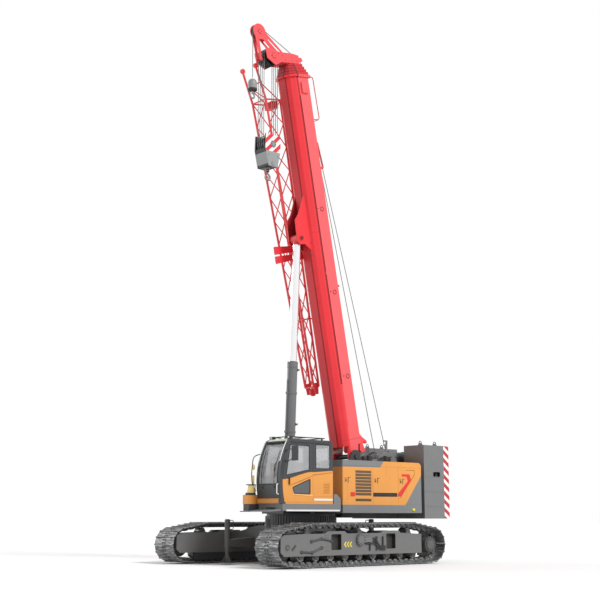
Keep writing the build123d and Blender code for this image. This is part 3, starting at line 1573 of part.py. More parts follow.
block_x = sheave_centre.X
with BuildPart() as hook_block:
    for y in (BLOCK_INNER + BLOCK_PLATE, -BLOCK_INNER):
        with BuildSketch(side(y)):
            Polygon(
                (block_x - 270, BLOCK_TOP),
                (block_x + 270, BLOCK_TOP),
                (block_x + BLOCK_WAIST, BLOCK_WAIST_Z),
                (block_x + BLOCK_FOOT, BLOCK_FOOT_Z),
                (block_x - BLOCK_FOOT, BLOCK_FOOT_Z),
                (block_x - BLOCK_WAIST, BLOCK_WAIST_Z),
                align=None,
            )
        extrude(amount=BLOCK_PLATE)
    with BuildSketch(side(BLOCK_INNER + 2)):
        with Locations((block_x, BLOCK_FOOT_Z + 90)):
            Rectangle(240, 180)
        with Locations((block_x, BLOCK_SHEAVE_Z)):
            Circle(BLOCK_PIN_RADIUS)
    extrude(amount=2 * BLOCK_INNER + 4)
    # Covers over the lower half, front and rear, clear of the sheaves
    with BuildSketch(side(BLOCK_INNER + 2)):
        for hand in (1, -1):
            Polygon(
                (block_x + hand * (BLOCK_WAIST - 4), BLOCK_WAIST_Z),
                (block_x + hand * (BLOCK_WAIST - 16), BLOCK_WAIST_Z),
                (block_x + hand * (BLOCK_FOOT - 14), BLOCK_FOOT_Z + 4),
                (block_x + hand * (BLOCK_FOOT - 2), BLOCK_FOOT_Z + 4),
                align=None,
            )
    extrude(amount=2 * BLOCK_INNER + 4)
    with BuildSketch(level(SHANK_FOOT_Z)):
        with Locations((block_x, 0)):
            Circle(45)
    extrude(amount=BLOCK_FOOT_Z + 80 - SHANK_FOOT_Z)

with BuildPart() as block_sheaves:
    for index in range(SHEAVE_COUNT):
        y = (index - (SHEAVE_COUNT - 1) / 2) * SHEAVE_PITCH
        with BuildSketch(side(y)):
            with Locations((block_x, BLOCK_SHEAVE_Z)):
                Circle(SHEAVE_RADIUS)
                Circle(BLOCK_PIN_RADIUS + SEAT, mode=Mode.SUBTRACT)
        extrude(amount=SHEAVE_THICK / 2, both=True)

with BuildPart() as main_hook:
    add(hook_part(block_x, SHANK_FOOT_Z - SEAT, MAIN_HOOK_RADIUS, 70))

aux_x = rooster_centre.X + ROOSTER_RADIUS + ROPE_RADIUS + SEAT
with BuildPart() as aux_fall:
    with BuildSketch(level(AUX_BALL_TOP + SEAT)):
        with Locations((aux_x, 0)):
            Circle(ROPE_RADIUS)
    extrude(amount=rooster_centre.Z - AUX_BALL_TOP - SEAT)

with BuildPart() as aux_ball:
    ball_foot = Vector(aux_x, 0, AUX_BALL_TOP - AUX_BALL_HEIGHT)
    with BuildSketch(Plane(origin=ball_foot, x_dir=(1, 0, 0), z_dir=(0, -1, 0))):
        Polygon(
            (0, 0),
            (AUX_BALL_RADIUS - 40, 0),
            (AUX_BALL_RADIUS, 60),
            (AUX_BALL_RADIUS, 250),
            (60, AUX_BALL_HEIGHT - 20),
            (30, AUX_BALL_HEIGHT),
            (0, AUX_BALL_HEIGHT),
            align=None,
        )
    revolve(axis=Axis((aux_x, 0, 0), (0, 0, 1)))

with BuildPart() as aux_hook:
    add(hook_part(aux_x, AUX_BALL_TOP - AUX_BALL_HEIGHT - SEAT, AUX_HOOK_RADIUS, 45))


# Jib: four chords that taper to the tip, laced on every side
def jib_corner(along, near, low):
    """Chord point: near or far from the boom, on the low or high side."""
    taper = (JIB_BASE_ALONG - along) / (JIB_BASE_ALONG - JIB_TIP_ALONG)
    inner = JIB_INNER_BASE + (JIB_INNER_TIP - JIB_INNER_BASE) * taper
    outer = JIB_OUTER_BASE + (JIB_OUTER_TIP - JIB_OUTER_BASE) * taper
    high = JIB_HIGH_BASE + (JIB_HIGH_TIP - JIB_HIGH_BASE) * taper
    deep = JIB_LOW_BASE + (JIB_LOW_TIP - JIB_LOW_BASE) * taper
    return on_boom(along, deep if low else high, inner if near else outer)


jib_bay = (JIB_BASE_ALONG - JIB_TIP_ALONG) / JIB_BAYS
jib_stations = [JIB_TIP_ALONG + jib_bay * index for index in range(JIB_BAYS + 1)]
jib_faces = [
    ((True, True), (False, True)),
    ((False, True), (False, False)),
    ((False, False), (True, False)),
    ((True, False), (True, True)),
]
with BuildPart() as lattice_jib:
    for near, low in ((True, True), (False, True), (False, False), (True, False)):
        tip = jib_corner(JIB_TIP_ALONG, near, low)
        add(bar(tip, jib_corner(JIB_BASE_ALONG, near, low), JIB_CHORD_RADIUS, 8))
    for first, second in jib_faces:
        for index in range(JIB_BAYS):
            from_chord, to_chord = (first, second) if index % 2 == 0 else (second, first)
            start = jib_corner(jib_stations[index], *from_chord)
            add(bar(start, jib_corner(jib_stations[index + 1], *to_chord), JIB_LACE_RADIUS, 6))
        for along in (jib_stations[0], jib_stations[-1]):
            add(bar(jib_corner(along, *first), jib_corner(along, *second), JIB_LACE_RADIUS + 8, 6))
    # Tip: two plates between the chords' ends with a rope sheave
    tip_mid = (JIB_INNER_TIP + JIB_OUTER_TIP) / 2
    for y in (JIB_INNER_TIP + 12, JIB_OUTER_TIP + 12):
        with BuildSketch(boom_side(y)):
            Polygon(
                (JIB_TIP_ALONG + 120, JIB_HIGH_TIP),
                (JIB_TIP_ALONG - 220, JIB_HIGH_TIP - 60),
                (JIB_TIP_ALONG - 220, JIB_LOW_TIP + 40),
                (JIB_TIP_ALONG + 120, JIB_LOW_TIP),
                align=None,
            )
        extrude(amount=24)
    with BuildSketch(boom_side(JIB_INNER_TIP + 12)):
        with Locations((JIB_TIP_ALONG - 150, (JIB_HIGH_TIP + JIB_LOW_TIP) / 2)):
            Circle(30)
    extrude(amount=JIB_INNER_TIP - JIB_OUTER_TIP)
    with BuildSketch(boom_side(tip_mid + 25)):
        with Locations((JIB_TIP_ALONG - 150, (JIB_HIGH_TIP + JIB_LOW_TIP) / 2)):
            Circle(120)
    extrude(amount=50)
    for near in (True, False):
        base = jib_corner(JIB_BASE_ALONG, near, True)
        eye_y = JIB_INNER_BASE if near else JIB_OUTER_BASE
        add(bar(base, on_boom(JIB_EYE_ALONG - 40, JIB_EYE_UP, eye_y), JIB_CHORD_RADIUS, 8))
        with BuildSketch(boom_side(eye_y + 35)):
            with Locations((JIB_EYE_ALONG, JIB_EYE_UP)):
                Circle(75)
                Circle(32, mode=Mode.SUBTRACT)
        extrude(amount=70)

# Brackets: arms on the boom's right side that reach under the jib's low chords
with BuildPart() as jib_brackets:
    for along in BRACKET_STATIONS:
        share = (along - JIB_TIP_ALONG) / (JIB_BASE_ALONG - JIB_TIP_ALONG)
        rest = JIB_LOW_BASE + (JIB_LOW_TIP - JIB_LOW_BASE) * (1 - share) - JIB_CHORD_RADIUS - 1.6
        reach = JIB_OUTER_BASE + (JIB_OUTER_TIP - JIB_OUTER_BASE) * (1 - share) - 40
        side_y = -BASE_WIDTH / 2
        with BuildSketch(station(along)):
            Polygon(
                (side_y, BASE_TOP - 100),
                (side_y, SEAM),
                (side_y - 60, rest - 70),
                (reach, rest - 70),
                (reach, rest),
                (side_y - 120, rest),
                (side_y - 60, SEAM),
                (side_y - 60, BASE_TOP - 100),
                align=None,
            )
        extrude(amount=BRACKET_THICK)

pieces = {
    "left_track": left_track,
    "right_track": right_track,
    "drive_sprockets": drive_sprockets,
    "idlers": idlers,
    "track_rollers": track_rollers,
    "left_track_frame": left_track_frame,
    "right_track_frame": right_track_frame,
    "car_body": car_body,
    "slew_bearing": slew_bearing,
    "jack_arms": jack_arms,
    **jack_legs,
    "turntable": turntable,
    "side_decks": side_decks,
    "cab_platform": cab_platform,
    "cab_shell": cab_shell,
    "cab_windows": cab_windows,
    "cab_seat": cab_seat,
    "cab_mirrors": cab_mirrors,
    "roof_rails": roof_rails,
    "cab_door": cab_door,
    "cab_door_glass": cab_door_glass,
    "engine_hood": engine_hood,
    "engine_block": engine_block,
    **hood_doors,
    "right_hood": right_hood,
    "counterweight": counterweight,
    "winch_frame": winch_frame,
    "main_drum": main_drum,
    "aux_drum": aux_drum,
    "luff_barrel": luff_barrel,
    "luff_rod": luff_rod,
    "boom_base": boom_base,
    **sections,
    "boom_head": boom_head,
    "head_sheaves": head_sheaves,
    "lattice_jib": lattice_jib,
    "jib_brackets": jib_brackets,
    "main_falls": main_falls,
    "hook_block": hook_block,
    "block_sheaves": block_sheaves,
    "main_hook": main_hook,
    "aux_fall": aux_fall,
    "aux_ball": aux_ball,
    "aux_hook": aux_hook,
}
for node, piece in pieces.items():
    piece.part.label = node
    export_step(piece.part, f"parts/{node}.step")
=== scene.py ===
import json
from math import acos, atan2, cos, hypot, pi, radians, sin, sqrt

import bmesh
import bpy
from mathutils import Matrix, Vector


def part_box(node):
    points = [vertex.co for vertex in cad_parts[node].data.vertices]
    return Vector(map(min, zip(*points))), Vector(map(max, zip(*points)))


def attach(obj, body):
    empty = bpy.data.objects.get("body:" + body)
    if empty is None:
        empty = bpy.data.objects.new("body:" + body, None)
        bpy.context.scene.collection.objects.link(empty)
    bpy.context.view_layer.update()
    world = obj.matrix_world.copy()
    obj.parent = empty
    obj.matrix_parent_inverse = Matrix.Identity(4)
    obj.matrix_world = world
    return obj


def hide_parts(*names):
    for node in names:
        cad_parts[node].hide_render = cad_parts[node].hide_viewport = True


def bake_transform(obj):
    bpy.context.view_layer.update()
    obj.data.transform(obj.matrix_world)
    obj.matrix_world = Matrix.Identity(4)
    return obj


bl_info = {
    "name": "Crawler crane finish",
    "version": (1, 0, 0),
    "blender": (4, 5, 0),
    "location": "View3D > Sidebar > Crane",
    "description": "Paint, ropes, fittings and studio for a telescopic-boom crawler crane",
    "category": "Object",
}

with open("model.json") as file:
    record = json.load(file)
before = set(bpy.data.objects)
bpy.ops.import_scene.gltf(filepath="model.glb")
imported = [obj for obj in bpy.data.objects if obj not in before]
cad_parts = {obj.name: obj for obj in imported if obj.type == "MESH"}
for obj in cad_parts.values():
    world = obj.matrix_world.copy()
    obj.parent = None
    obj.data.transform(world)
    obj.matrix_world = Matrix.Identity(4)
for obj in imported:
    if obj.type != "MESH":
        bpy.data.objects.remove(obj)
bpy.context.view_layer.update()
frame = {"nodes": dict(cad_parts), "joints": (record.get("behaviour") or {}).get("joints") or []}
nodes = frame["nodes"]
joints = {joint["name"]: joint for joint in frame["joints"]}

# Places taken from the frame, in metres
foot = Vector(joints["boom_luff"]["pos_m"])
boom_axis = Vector(joints["telescope_2"]["axis"])
boom_up = Vector((-boom_axis.z, 0, boom_axis.x))
sheave_centre = Vector(joints["main_plumb"]["pos_m"])
rooster_centre = Vector(joints["aux_plumb"]["pos_m"])
main_drum_centre = Vector(joints["main_winch"]["pos_m"])
aux_drum_centre = Vector(joints["aux_winch"]["pos_m"])

# Sizes of the solids that the fittings stand on, in metres
drum_radius = 0.24
rope_radius = 0.011
sheave_radius = 0.25
rooster_radius = 0.18
sheave_pitch = 0.084
sheave_rows = tuple((index - 1.5) * sheave_pitch for index in range(4))
block_x = sheave_centre.x
block_sheave_z = 11.85
block_face = 0.2448
ball_x = rooster_centre.x + rooster_radius + rope_radius + 0.0003
head_face = 0.2615
rooster_face = 0.0795
winch_face = 0.4415
track_y = 2.16
track_end_x = 2.67
track_ground_x = 2.12
wheel_z = 0.52
frame_face = 2.439
seat_y = 1.03


def on_boom(along, up, y=0.0):
    """Point given along the boom from its foot pin, above the pin's line, and to the left."""
    return foot + boom_axis * along + boom_up * up + Vector((0, y, 0))


def turns(count):
    """Angles spread over a full turn."""
    return [2 * pi * index / count for index in range(count)]


def arc(centre, radius, start, end, steps):
    """Points on an arc in a plane of constant y, angles counted from forward towards up."""
    angles = [start + (end - start) * index / steps for index in range(steps + 1)]
    return [Vector(centre) + Vector((cos(angle), 0, sin(angle))) * radius for angle in angles]


def rounded(points, reach, steps=4, closed=False):
    """Line through given points with its corners rounded."""
    points = [Vector(point) for point in points]
    if closed:
        corners = list(zip(points[-1:] + points[:-1], points, points[1:] + points[:1]))
        line = []
    else:
        corners = list(zip(points, points[1:], points[2:]))
        line = [points[0]]
    for before, corner, after in corners:
        back, on = before - corner, after - corner
        start = corner + back.normalized() * min(reach, back.length * 0.45)
        end = corner + on.normalized() * min(reach, on.length * 0.45)
        for index in range(steps + 1):
            share = index / steps
            line.append(start * (1 - share) ** 2 + corner * 2 * share * (1 - share) + end * share ** 2)
    return line if closed else line + [points[-1]]


# Where the ropes run off the boom's head
rope_guide = on_boom(11.95, 0.466)


# Finishes

class Graph:
    """A node tree under construction."""

    def __init__(self, tree):
        self.tree = tree

    def node(self, kind, settings=None, sockets=None):
        """A node with its settings made first, then its sockets set or linked."""
        made = self.tree.nodes.new(kind)
        for name, setting in (settings or {}).items():
            setattr(made, name, setting)
        for name, source in (sockets or {}).items():
            socket = made.inputs[name]
            if isinstance(source, Value):
                source = source.socket
            if isinstance(source, bpy.types.NodeSocket):
                self.tree.links.new(source, socket)
            elif isinstance(source, tuple) and len(source) == 3 and socket.type == "RGBA":
                socket.default_value = (*source, 1)
            else:
                socket.default_value = source
        return made

    def math(self, operation, first, second=0.0):
        """Number worked out from one or two others."""
        return Value(
            self, self.node("ShaderNodeMath", {"operation": operation}, {0: first, 1: second}).outputs[0],
        )


def operation(name, swapped=False):
    """Operator of a value that adds one Math node."""
    def method(self, other=0.0):
        first, second = (other, self) if swapped else (self, other)
        return self.graph.math(name, first, second)
    return method


class Value:
    """A number that varies from place to place. Its operators add Math nodes to the tree it belongs to."""

    def __init__(self, graph, socket):
        self.graph = graph
        self.socket = socket

    __add__ = __radd__ = operation("ADD")
    __sub__ = operation("SUBTRACT")
    __rsub__ = operation("SUBTRACT", swapped=True)
    __mul__ = __rmul__ = operation("MULTIPLY")
    __truediv__ = operation("DIVIDE")
    __mod__ = operation("FLOORED_MODULO")
    __gt__ = operation("GREATER_THAN")
    __lt__ = operation("LESS_THAN")
    __and__ = operation("MINIMUM")
    __or__ = operation("MAXIMUM")
    __abs__ = operation("ABSOLUTE")


class Finish(Graph):
    """One material under construction, with the object's own coordinates as x, y and z."""

    def __init__(self, name):
        self.material = bpy.data.materials.new(name)
        self.material.use_nodes = True
        super().__init__(self.material.node_tree)
        self.tree.nodes.clear()
        self.place = self.node("ShaderNodeTexCoord").outputs["Object"]
        split = self.node("ShaderNodeSeparateXYZ", {}, {"Vector": self.place})
        self.x, self.y, self.z = (Value(self, socket) for socket in split.outputs)

    def ramp(self, value, low, high, to_low=0.0, to_high=1.0):
        """Value stretched from one range to another and held at its ends."""
        settings = {"interpolation_type": "SMOOTHSTEP"}
        sockets = {"Value": value, "From Min": low, "From Max": high, "To Min": to_low, "To Max": to_high}
        return Value(self, self.node("ShaderNodeMapRange", settings, sockets).outputs["Result"])

    def noise(self, scale, detail=3.0, stretch=(1, 1, 1)):
        """Noise from 0 to 1, stretched along the axes where asked."""
        place = self.node(
            "ShaderNodeMapping", {}, {"Vector": self.place, "Scale": Vector(stretch)},
        ).outputs[0]
        made = self.node("ShaderNodeTexNoise", {}, {"Vector": place, "Scale": scale, "Detail": detail})
        return Value(self, made.outputs["Fac"])

    def mix(self, factor, first, second):
        """Colour between two colours."""
        sockets = {0: factor, 6: first, 7: second}
        return self.node("ShaderNodeMix", {"data_type": "RGBA"}, sockets).outputs[2]

    def bump(self, height, distance):
        """Normal of a surface with a height on it, in metres."""
        return self.node("ShaderNodeBump", {}, {"Height": height, "Distance": distance}).outputs[0]

    def within(self, *corners):
        """Mask of a convex outline seen from the side, its corners given as (x, z)."""
        area = sum(x0 * z1 - x1 * z0 for (x0, z0), (x1, z1) in zip(corners, corners[1:] + corners[:1]))
        hand = 1 if area > 0 else -1
        mask = None
        for (x0, z0), (x1, z1) in zip(corners, corners[1:] + corners[:1]):
            run = hypot(x1 - x0, z1 - z0)
            across, down = hand * (z0 - z1) / run, hand * (x1 - x0) / run
            inside = self.x * across + self.z * down - (x0 * across + z0 * down)
            mask = inside if mask is None else mask & inside
        return mask > 0

    def shade(self, **sockets):
        """Closes the material with a principled surface. Socket names have underscores for spaces."""
        named = {name.replace("_", " "): source for name, source in sockets.items()}
        surface = self.node("ShaderNodeBsdfPrincipled", {}, named)
        self.node("ShaderNodeOutputMaterial", {}, {"Surface": surface.outputs[0]})
        return self.material


def coated(finish, colour, roughness=0.4, coat=0.1, dust=0.25):
    """Closes a finish as sprayed paint with clouds of tone, orange peel and dust that settles low down."""
    clouds = finish.noise(1.3, 4.0)
    streaks = finish.noise(9.0, 5.0, (1, 1, 0.12))
    tone = finish.mix(clouds * 0.18, colour, (0.0, 0.0, 0.0))
    tone = finish.mix(finish.ramp(streaks, 0.58, 0.8, 0.0, 0.16), tone, (0.16, 0.13, 0.1))
    low = finish.ramp(finish.z, 1.5, 0.05) * dust
    tone = finish.mix(low * finish.noise(21.0, 6.0), tone, (0.3, 0.27, 0.23))
    return finish.shade(
        Base_Color=tone,
        Roughness=roughness + clouds * 0.1 + low * 0.3,
        Coat_Weight=coat,
        Coat_Roughness=0.15,
        Specular_IOR_Level=0.3,
        Normal=finish.bump(finish.noise(340.0, 2.0), 0.0003),
    )


def painted(name, colour, **looks):
    """Paint of one colour."""
    return coated(Finish(name), colour, **looks)


def metal(name, colour, roughness, scratch=0.2):
    """Bare metal with fine scratches and smears."""
    finish = Finish(name)
    smears = finish.noise(6.0, 5.0)
    lines = finish.noise(90.0)
    tone = finish.mix(smears * 0.35, colour, tuple(channel * 0.55 for channel in colour))
    return finish.shade(
        Base_Color=tone,
        Metallic=1.0,
        Roughness=roughness + smears * 0.12 + lines * scratch,
        Normal=finish.bump(lines, 0.0002),
    )


def rubber(name, colour=(0.018, 0.018, 0.019)):
    """Matt moulded rubber or plastic with a fine grain."""
    finish = Finish(name)
    grain = finish.noise(260.0, 4.0)
    tone = finish.mix(
        finish.noise(8.0, 4.0) * 0.5, colour, tuple(channel * 1.9 + 0.004 for channel in colour),
    )
    return finish.shade(Base_Color=tone, Roughness=0.6 + grain * 0.2, Normal=finish.bump(grain, 0.0004))


def track_finish():
    """Dark track steel, rubbed bright in scratches and dusty towards the ground."""
    finish = Finish("Track steel")
    rub = finish.ramp(finish.noise(14.0, 6.0, (2.2, 0.3, 2.2)), 0.44, 0.66)
    tone = finish.mix(rub, (0.085, 0.087, 0.09), (0.34, 0.34, 0.34))
    dust = finish.ramp(finish.noise(5.0, 5.0), 0.5, 0.75) * finish.ramp(finish.z, 0.5, 0.0)
    tone = finish.mix(dust * 0.25, tone, (0.2, 0.175, 0.145))
    height = finish.noise(70.0, 4.0)
    return finish.shade(
        Base_Color=tone,
        Metallic=0.2 + rub * 0.3,
        Roughness=0.5 - rub * 0.15,
        Normal=finish.bump(height, 0.0008),
    )


def frame_finish():
    """Side frames of the tracks: grey paint, painted near black inside the windows as painted shade."""
    finish = Finish("Track frame grey")
    # Window insides painted near black as painted shade.
    window = (abs(finish.x - 0.98) < 0.183) | (abs(finish.x + 1.07) < 0.183)
    window = window & (abs(finish.z - 0.635) < 0.203) & (abs(finish.y) < 2.4385)
    return coated(finish, finish.mix(window, (0.14, 0.142, 0.145), (0.008, 0.008, 0.009)), roughness=0.45)


def skirt_finish():
    """Grey skirt of the deck, with its two side lamps in yellow."""
    finish = Finish("Skirt grey")
    off_x, off_z = finish.x + 3.04, finish.z - 1.478
    lamp = (off_x * off_x * 0.4 + off_z * off_z < 0.0015) & (abs(finish.y) > 1.45)
    return coated(finish, finish.mix(lamp, band_grey, (0.8, 0.72, 0.02)), roughness=0.42)


def boom_finish(name, colour, lower, belly_shade):
    """Boom paint: upper shell lightened as painted light, lower shell and belly darkened as painted shade,
    and painted shadow lines at the joints between them.
    """
    finish = Finish(name)
    up = (finish.x - foot.x) * boom_up.x + (finish.z - foot.z) * boom_up.z
    along = (finish.x - foot.x) * boom_axis.x + (finish.z - foot.z) * boom_axis.z
    side = abs(finish.y)
    # Painted shadow lines along the seam of the two shells and beside the belly.
    joint = (abs(up + 0.066) < 0.032) & (side > 0.2) & (along > 2.13)
    joint = joint | ((abs(side - 0.15) < 0.018) & (up < -0.2))
    # Lower shell, then belly, in darker reds as painted shade; the given colour stays as the lit red above.
    tone = finish.mix(up < -0.066, colour, lower)
    tone = finish.mix((side < 0.15) & (up < -0.2), tone, belly_shade)
    # Colour of the painted shadow lines.
    shade = tuple(channel * 0.3 for channel in lower)
    return coated(finish, finish.mix(joint * 0.85, tone, shade), dust=0.0)


def cab_finish():
    """Cab skin: orange up to the moulded line, dark grey above it and round the front."""
    finish = Finish("Cab skin")
    line = finish.ramp(finish.x, 0.93, 2.03, 2.452, 2.24) + finish.ramp(finish.x, 0.18, 0.93, 0.046, 0.0)
    low = finish.z < line
    rear = (finish.x < 0.936) | ((finish.y < 0.8) & (finish.x < 1.93))
    sill = (finish.z < 1.655) & (finish.x < 1.9)
    bumper = (finish.z < 1.7515) & (finish.x > 1.955) & (finish.y < 1.42)
    orange = (low & rear) | sill | bumper
    # The darker orange band under the moulded crease is painted shade; the vent's bars share that darker
    # orange.
    crease_shade = finish.within((0.94, 2.385), (0.22, 2.462), (0.22, 2.44), (0.94, 2.35)) & (finish.y > 1.45)
    grid = finish.within((0.544, 2.18), (0.32, 2.18), (0.32, 1.898), (0.544, 1.898)) & (finish.y > 1.45)
    grid = grid & (((finish.z - 1.898) / 0.07) % 1.0 < 0.25)
    paint = finish.mix(crease_shade | grid, cab_orange, (0.52, 0.21, 0.042))
    colour = finish.mix(orange, (0.052, 0.055, 0.058), paint)
    return coated(finish, colour, dust=0.1)


def door_finish():
    """Cab door: orange up to the moulded line and dark grey above it, with painted shade under the crease and
    a painted highlight along the ledge.
    """
    finish = Finish("Cab door skin")
    line = finish.ramp(finish.x, 0.925, 2.03, 2.452, 2.24)
    orange = (finish.z < line) & (finish.y > 1.45)
    handle = (finish.x > 1.765) & (finish.x < 1.815) & (finish.z > 2.1) & (finish.z < 2.3)
    handle = handle & (finish.y > 1.5012)
    # Painted shade: a darker band under the crease.
    crease_shade = finish.within(
        (1.777, 2.104), (1.386, 2.222), (0.9, 2.395), (0.9, 2.355), (1.386, 2.178), (1.77, 2.07),
    )
    # Painted highlight along the ledge under the low pane and up its slanted rear edge.
    ledge_highlight = finish.within((1.64, 1.855), (1.62, 1.868), (0.9, 1.842), (0.9, 1.815))
    ledge_highlight = ledge_highlight | finish.within((1.777, 2.1), (1.75, 2.06), (1.61, 1.862), (1.64, 1.855))
    paint = finish.mix(crease_shade, finish.mix(ledge_highlight, cab_orange, (0.95, 0.55, 0.24)), (0.52, 0.21, 0.042))
    colour = finish.mix(orange, (0.052, 0.055, 0.058), paint)
    colour = finish.mix(handle, colour, (0.03, 0.03, 0.032))
    return coated(finish, colour, dust=0.1)


def hood_finish():
    """Hood panels: orange, a grey band on top, a grey foot at the rear, a bent red stripe, blank strips, and
    brown painted shade over the louvre rows.
    """
    finish = Finish("Hood panels")
    outer = abs(finish.y) > 1.45
    band = finish.within((-0.1, 2.628), (-1.66, 2.643), (-1.835, 2.83), (-0.1, 2.83))
    heel = finish.within((-3.6, 2.72), (-2.62, 1.5), (-3.6, 1.5))
    trim = finish.within((-2.742, 2.602), (-3.108, 2.607), (-3.108, 2.591), (-2.742, 2.586))
    trim = trim | finish.within((-3.108, 2.607), (-3.125, 2.485), (-3.11, 2.482), (-3.094, 2.593))
    trim = trim | finish.within((-3.125, 2.485), (-2.5, 1.8), (-2.482, 1.812), (-3.111, 2.497))
    stripe = finish.within((-2.56, 2.478), (-2.89, 2.486), (-2.87, 2.412), (-2.56, 2.41))
    stripe = stripe | finish.within((-2.89, 2.486), (-2.972, 2.304), (-2.815, 2.281), (-2.76, 2.415))
    stripe = stripe | finish.within(
        (-2.972, 2.304), (-2.516, 1.844), (-2.382, 1.842), (-2.402, 1.932), (-2.815, 2.285),
    )
    plate = finish.within((-1.378, 1.938), (-2.366, 1.944), (-2.364, 1.835), (-1.378, 1.828))
    tab = finish.within((-0.478, 1.942), (-0.662, 1.944), (-0.66, 1.827), (-0.478, 1.825))
    # Brown over the louvre rows is painted shade of the slots.
    rows = ((finish.z - 1.856) / 0.088) % 1.0 < 0.82
    rows = (rows & (finish.z > 1.85) & (finish.z < 2.56)) | ((finish.z > 1.696) & (finish.z < 1.77))
    louvre_shade = (finish.x < -0.676) & (finish.x > -1.303) & rows
    colour = finish.mix(trim & outer, cab_orange, (0.28, 0.1, 0.02))
    colour = finish.mix(plate & outer, colour, (0.02, 0.018, 0.018))
    colour = finish.mix((stripe | tab) & outer, colour, (0.72, 0.035, 0.03))
    colour = finish.mix(band | (heel & (finish.x < -2.4)), colour, band_grey)
    colour = finish.mix(louvre_shade & outer, colour, (0.16, 0.11, 0.07))
    return coated(finish, colour, dust=0.1)


def weight_finish():
    """Cast weights: grey, striped red and white down the bevelled rear corners, with the pockets painted
    black as painted shade.
    """
    finish = Finish("Counterweight")
    bevel = (finish.x < -4.412) & (finish.x > -4.766) & (abs(finish.y) > 1.3) & (finish.z < 3.358)
    red = ((finish.z - finish.x * 0.45 + 2.52) / 0.243 + 0.603) % 1.0 < 0.55
    stripes = finish.mix(red, (0.86, 0.86, 0.86), (0.48, 0.02, 0.025))
    colour = finish.mix(bevel, (0.185, 0.187, 0.19), stripes)
    # Inside of each pocket painted near black as painted shade.
    pocket_shade = finish.within((-3.925, 2.445), (-4.245, 2.445), (-4.245, 2.577), (-3.925, 2.577))
    pocket_shade = pocket_shade & (abs(finish.y) < 1.4985) & (abs(finish.y) > 1.38)
    colour = finish.mix(pocket_shade, colour, (0.012, 0.012, 0.013))
    return coated(finish, colour, roughness=0.5, coat=0.05, dust=0.05)


def block_finish():
    """Hook block: grey plates, the upper half of each outer face striped red and white, and the inside
    between the plates painted near black at top and bottom as painted shade.
    """
    finish = Finish("Hook block")
    face = (abs(finish.y) > 0.2445) & (finish.z > 11.62)
    red = ((finish.z + finish.x) / 0.3 + 0.35) % 1.0 < 0.5
    stripes = finish.mix(red, (0.84, 0.84, 0.84), (0.7, 0.03, 0.04))
    # Painted shade: near black between the plates above and below.
    inner = (abs(finish.y) < 0.243) & ((finish.z > 11.58) | (finish.z < 11.25))
    grey = finish.mix(inner, (0.3, 0.31, 0.31), (0.03, 0.031, 0.032))
    return coated(finish, finish.mix(face, grey, stripes), roughness=0.42, coat=0.15)


def rod_finish():
    """Chrome rod with its eye painted."""
    finish = Finish("Hard chrome")
    eye = finish.z > 9.075
    smears = finish.noise(4.0, 4.0, (1, 1, 0.1))
    chrome = finish.mix(smears * 0.25, (0.9, 0.9, 0.91), (0.6, 0.61, 0.62))
    return finish.shade(
        Base_Color=finish.mix(eye, chrome, (0.72, 0.05, 0.06)),
        Metallic=0.85 - eye * 0.85,
        Roughness=0.12 + smears * 0.08 + eye * 0.25,
    )


def rope_finish():
    """Wire rope: oiled steel strands, darker in the lay."""
    finish = Finish("Wire rope")
    grit = finish.noise(180.0, 4.0)
    tone = finish.mix(grit, (0.3, 0.3, 0.3), (0.1, 0.1, 0.1))
    return finish.shade(
        Base_Color=tone, Metallic=0.6, Roughness=0.38 + grit * 0.2, Normal=finish.bump(grit, 0.001),
    )


def glass_finish(name, tint, alpha, low=0.0):
    """Tinted pane that the studio shines off, darker and less clear below a height on its left side."""
    finish = Finish(name)
    haze = finish.noise(2.2, 3.0)
    # Darker and less clear below the given height.
    darker_low = (finish.z < low) & (finish.y > 1.44)
    clear = finish.mix(haze * 0.3, tint, tuple(min(channel * 1.3, 0.9) for channel in tint))
    return finish.shade(
        Base_Color=finish.mix(darker_low * 0.85, clear, (0.03, 0.032, 0.035)),
        Roughness=0.03 + haze * 0.03,
        Alpha=alpha + haze * 0.08 + darker_low * 0.5,
    )


def cloth_finish(name, colour):
    """Woven seat cover."""
    finish = Finish(name)
    warp = finish.math("SINE", (finish.x + finish.z * 0.3) * 1900.0)
    weft = finish.math("SINE", (finish.y + finish.z * 0.2) * 1900.0)
    weave = warp * weft * 0.5 + 0.5
    tone = finish.mix(weave * 0.5, colour, tuple(channel * 0.5 for channel in colour))
    tone = finish.mix(finish.noise(6.0, 3.0) * 0.3, tone, tuple(channel * 0.7 for channel in colour))
    return finish.shade(Base_Color=tone, Roughness=0.85, Sheen_Weight=0.3, Normal=finish.bump(weave, 0.0006))


cab_orange = (0.76, 0.325, 0.072)
band_grey = (0.2, 0.205, 0.21)
# Red of the boom's upper shell, lightened as painted light.
boom_lit_red = (0.87, 0.115, 0.125)


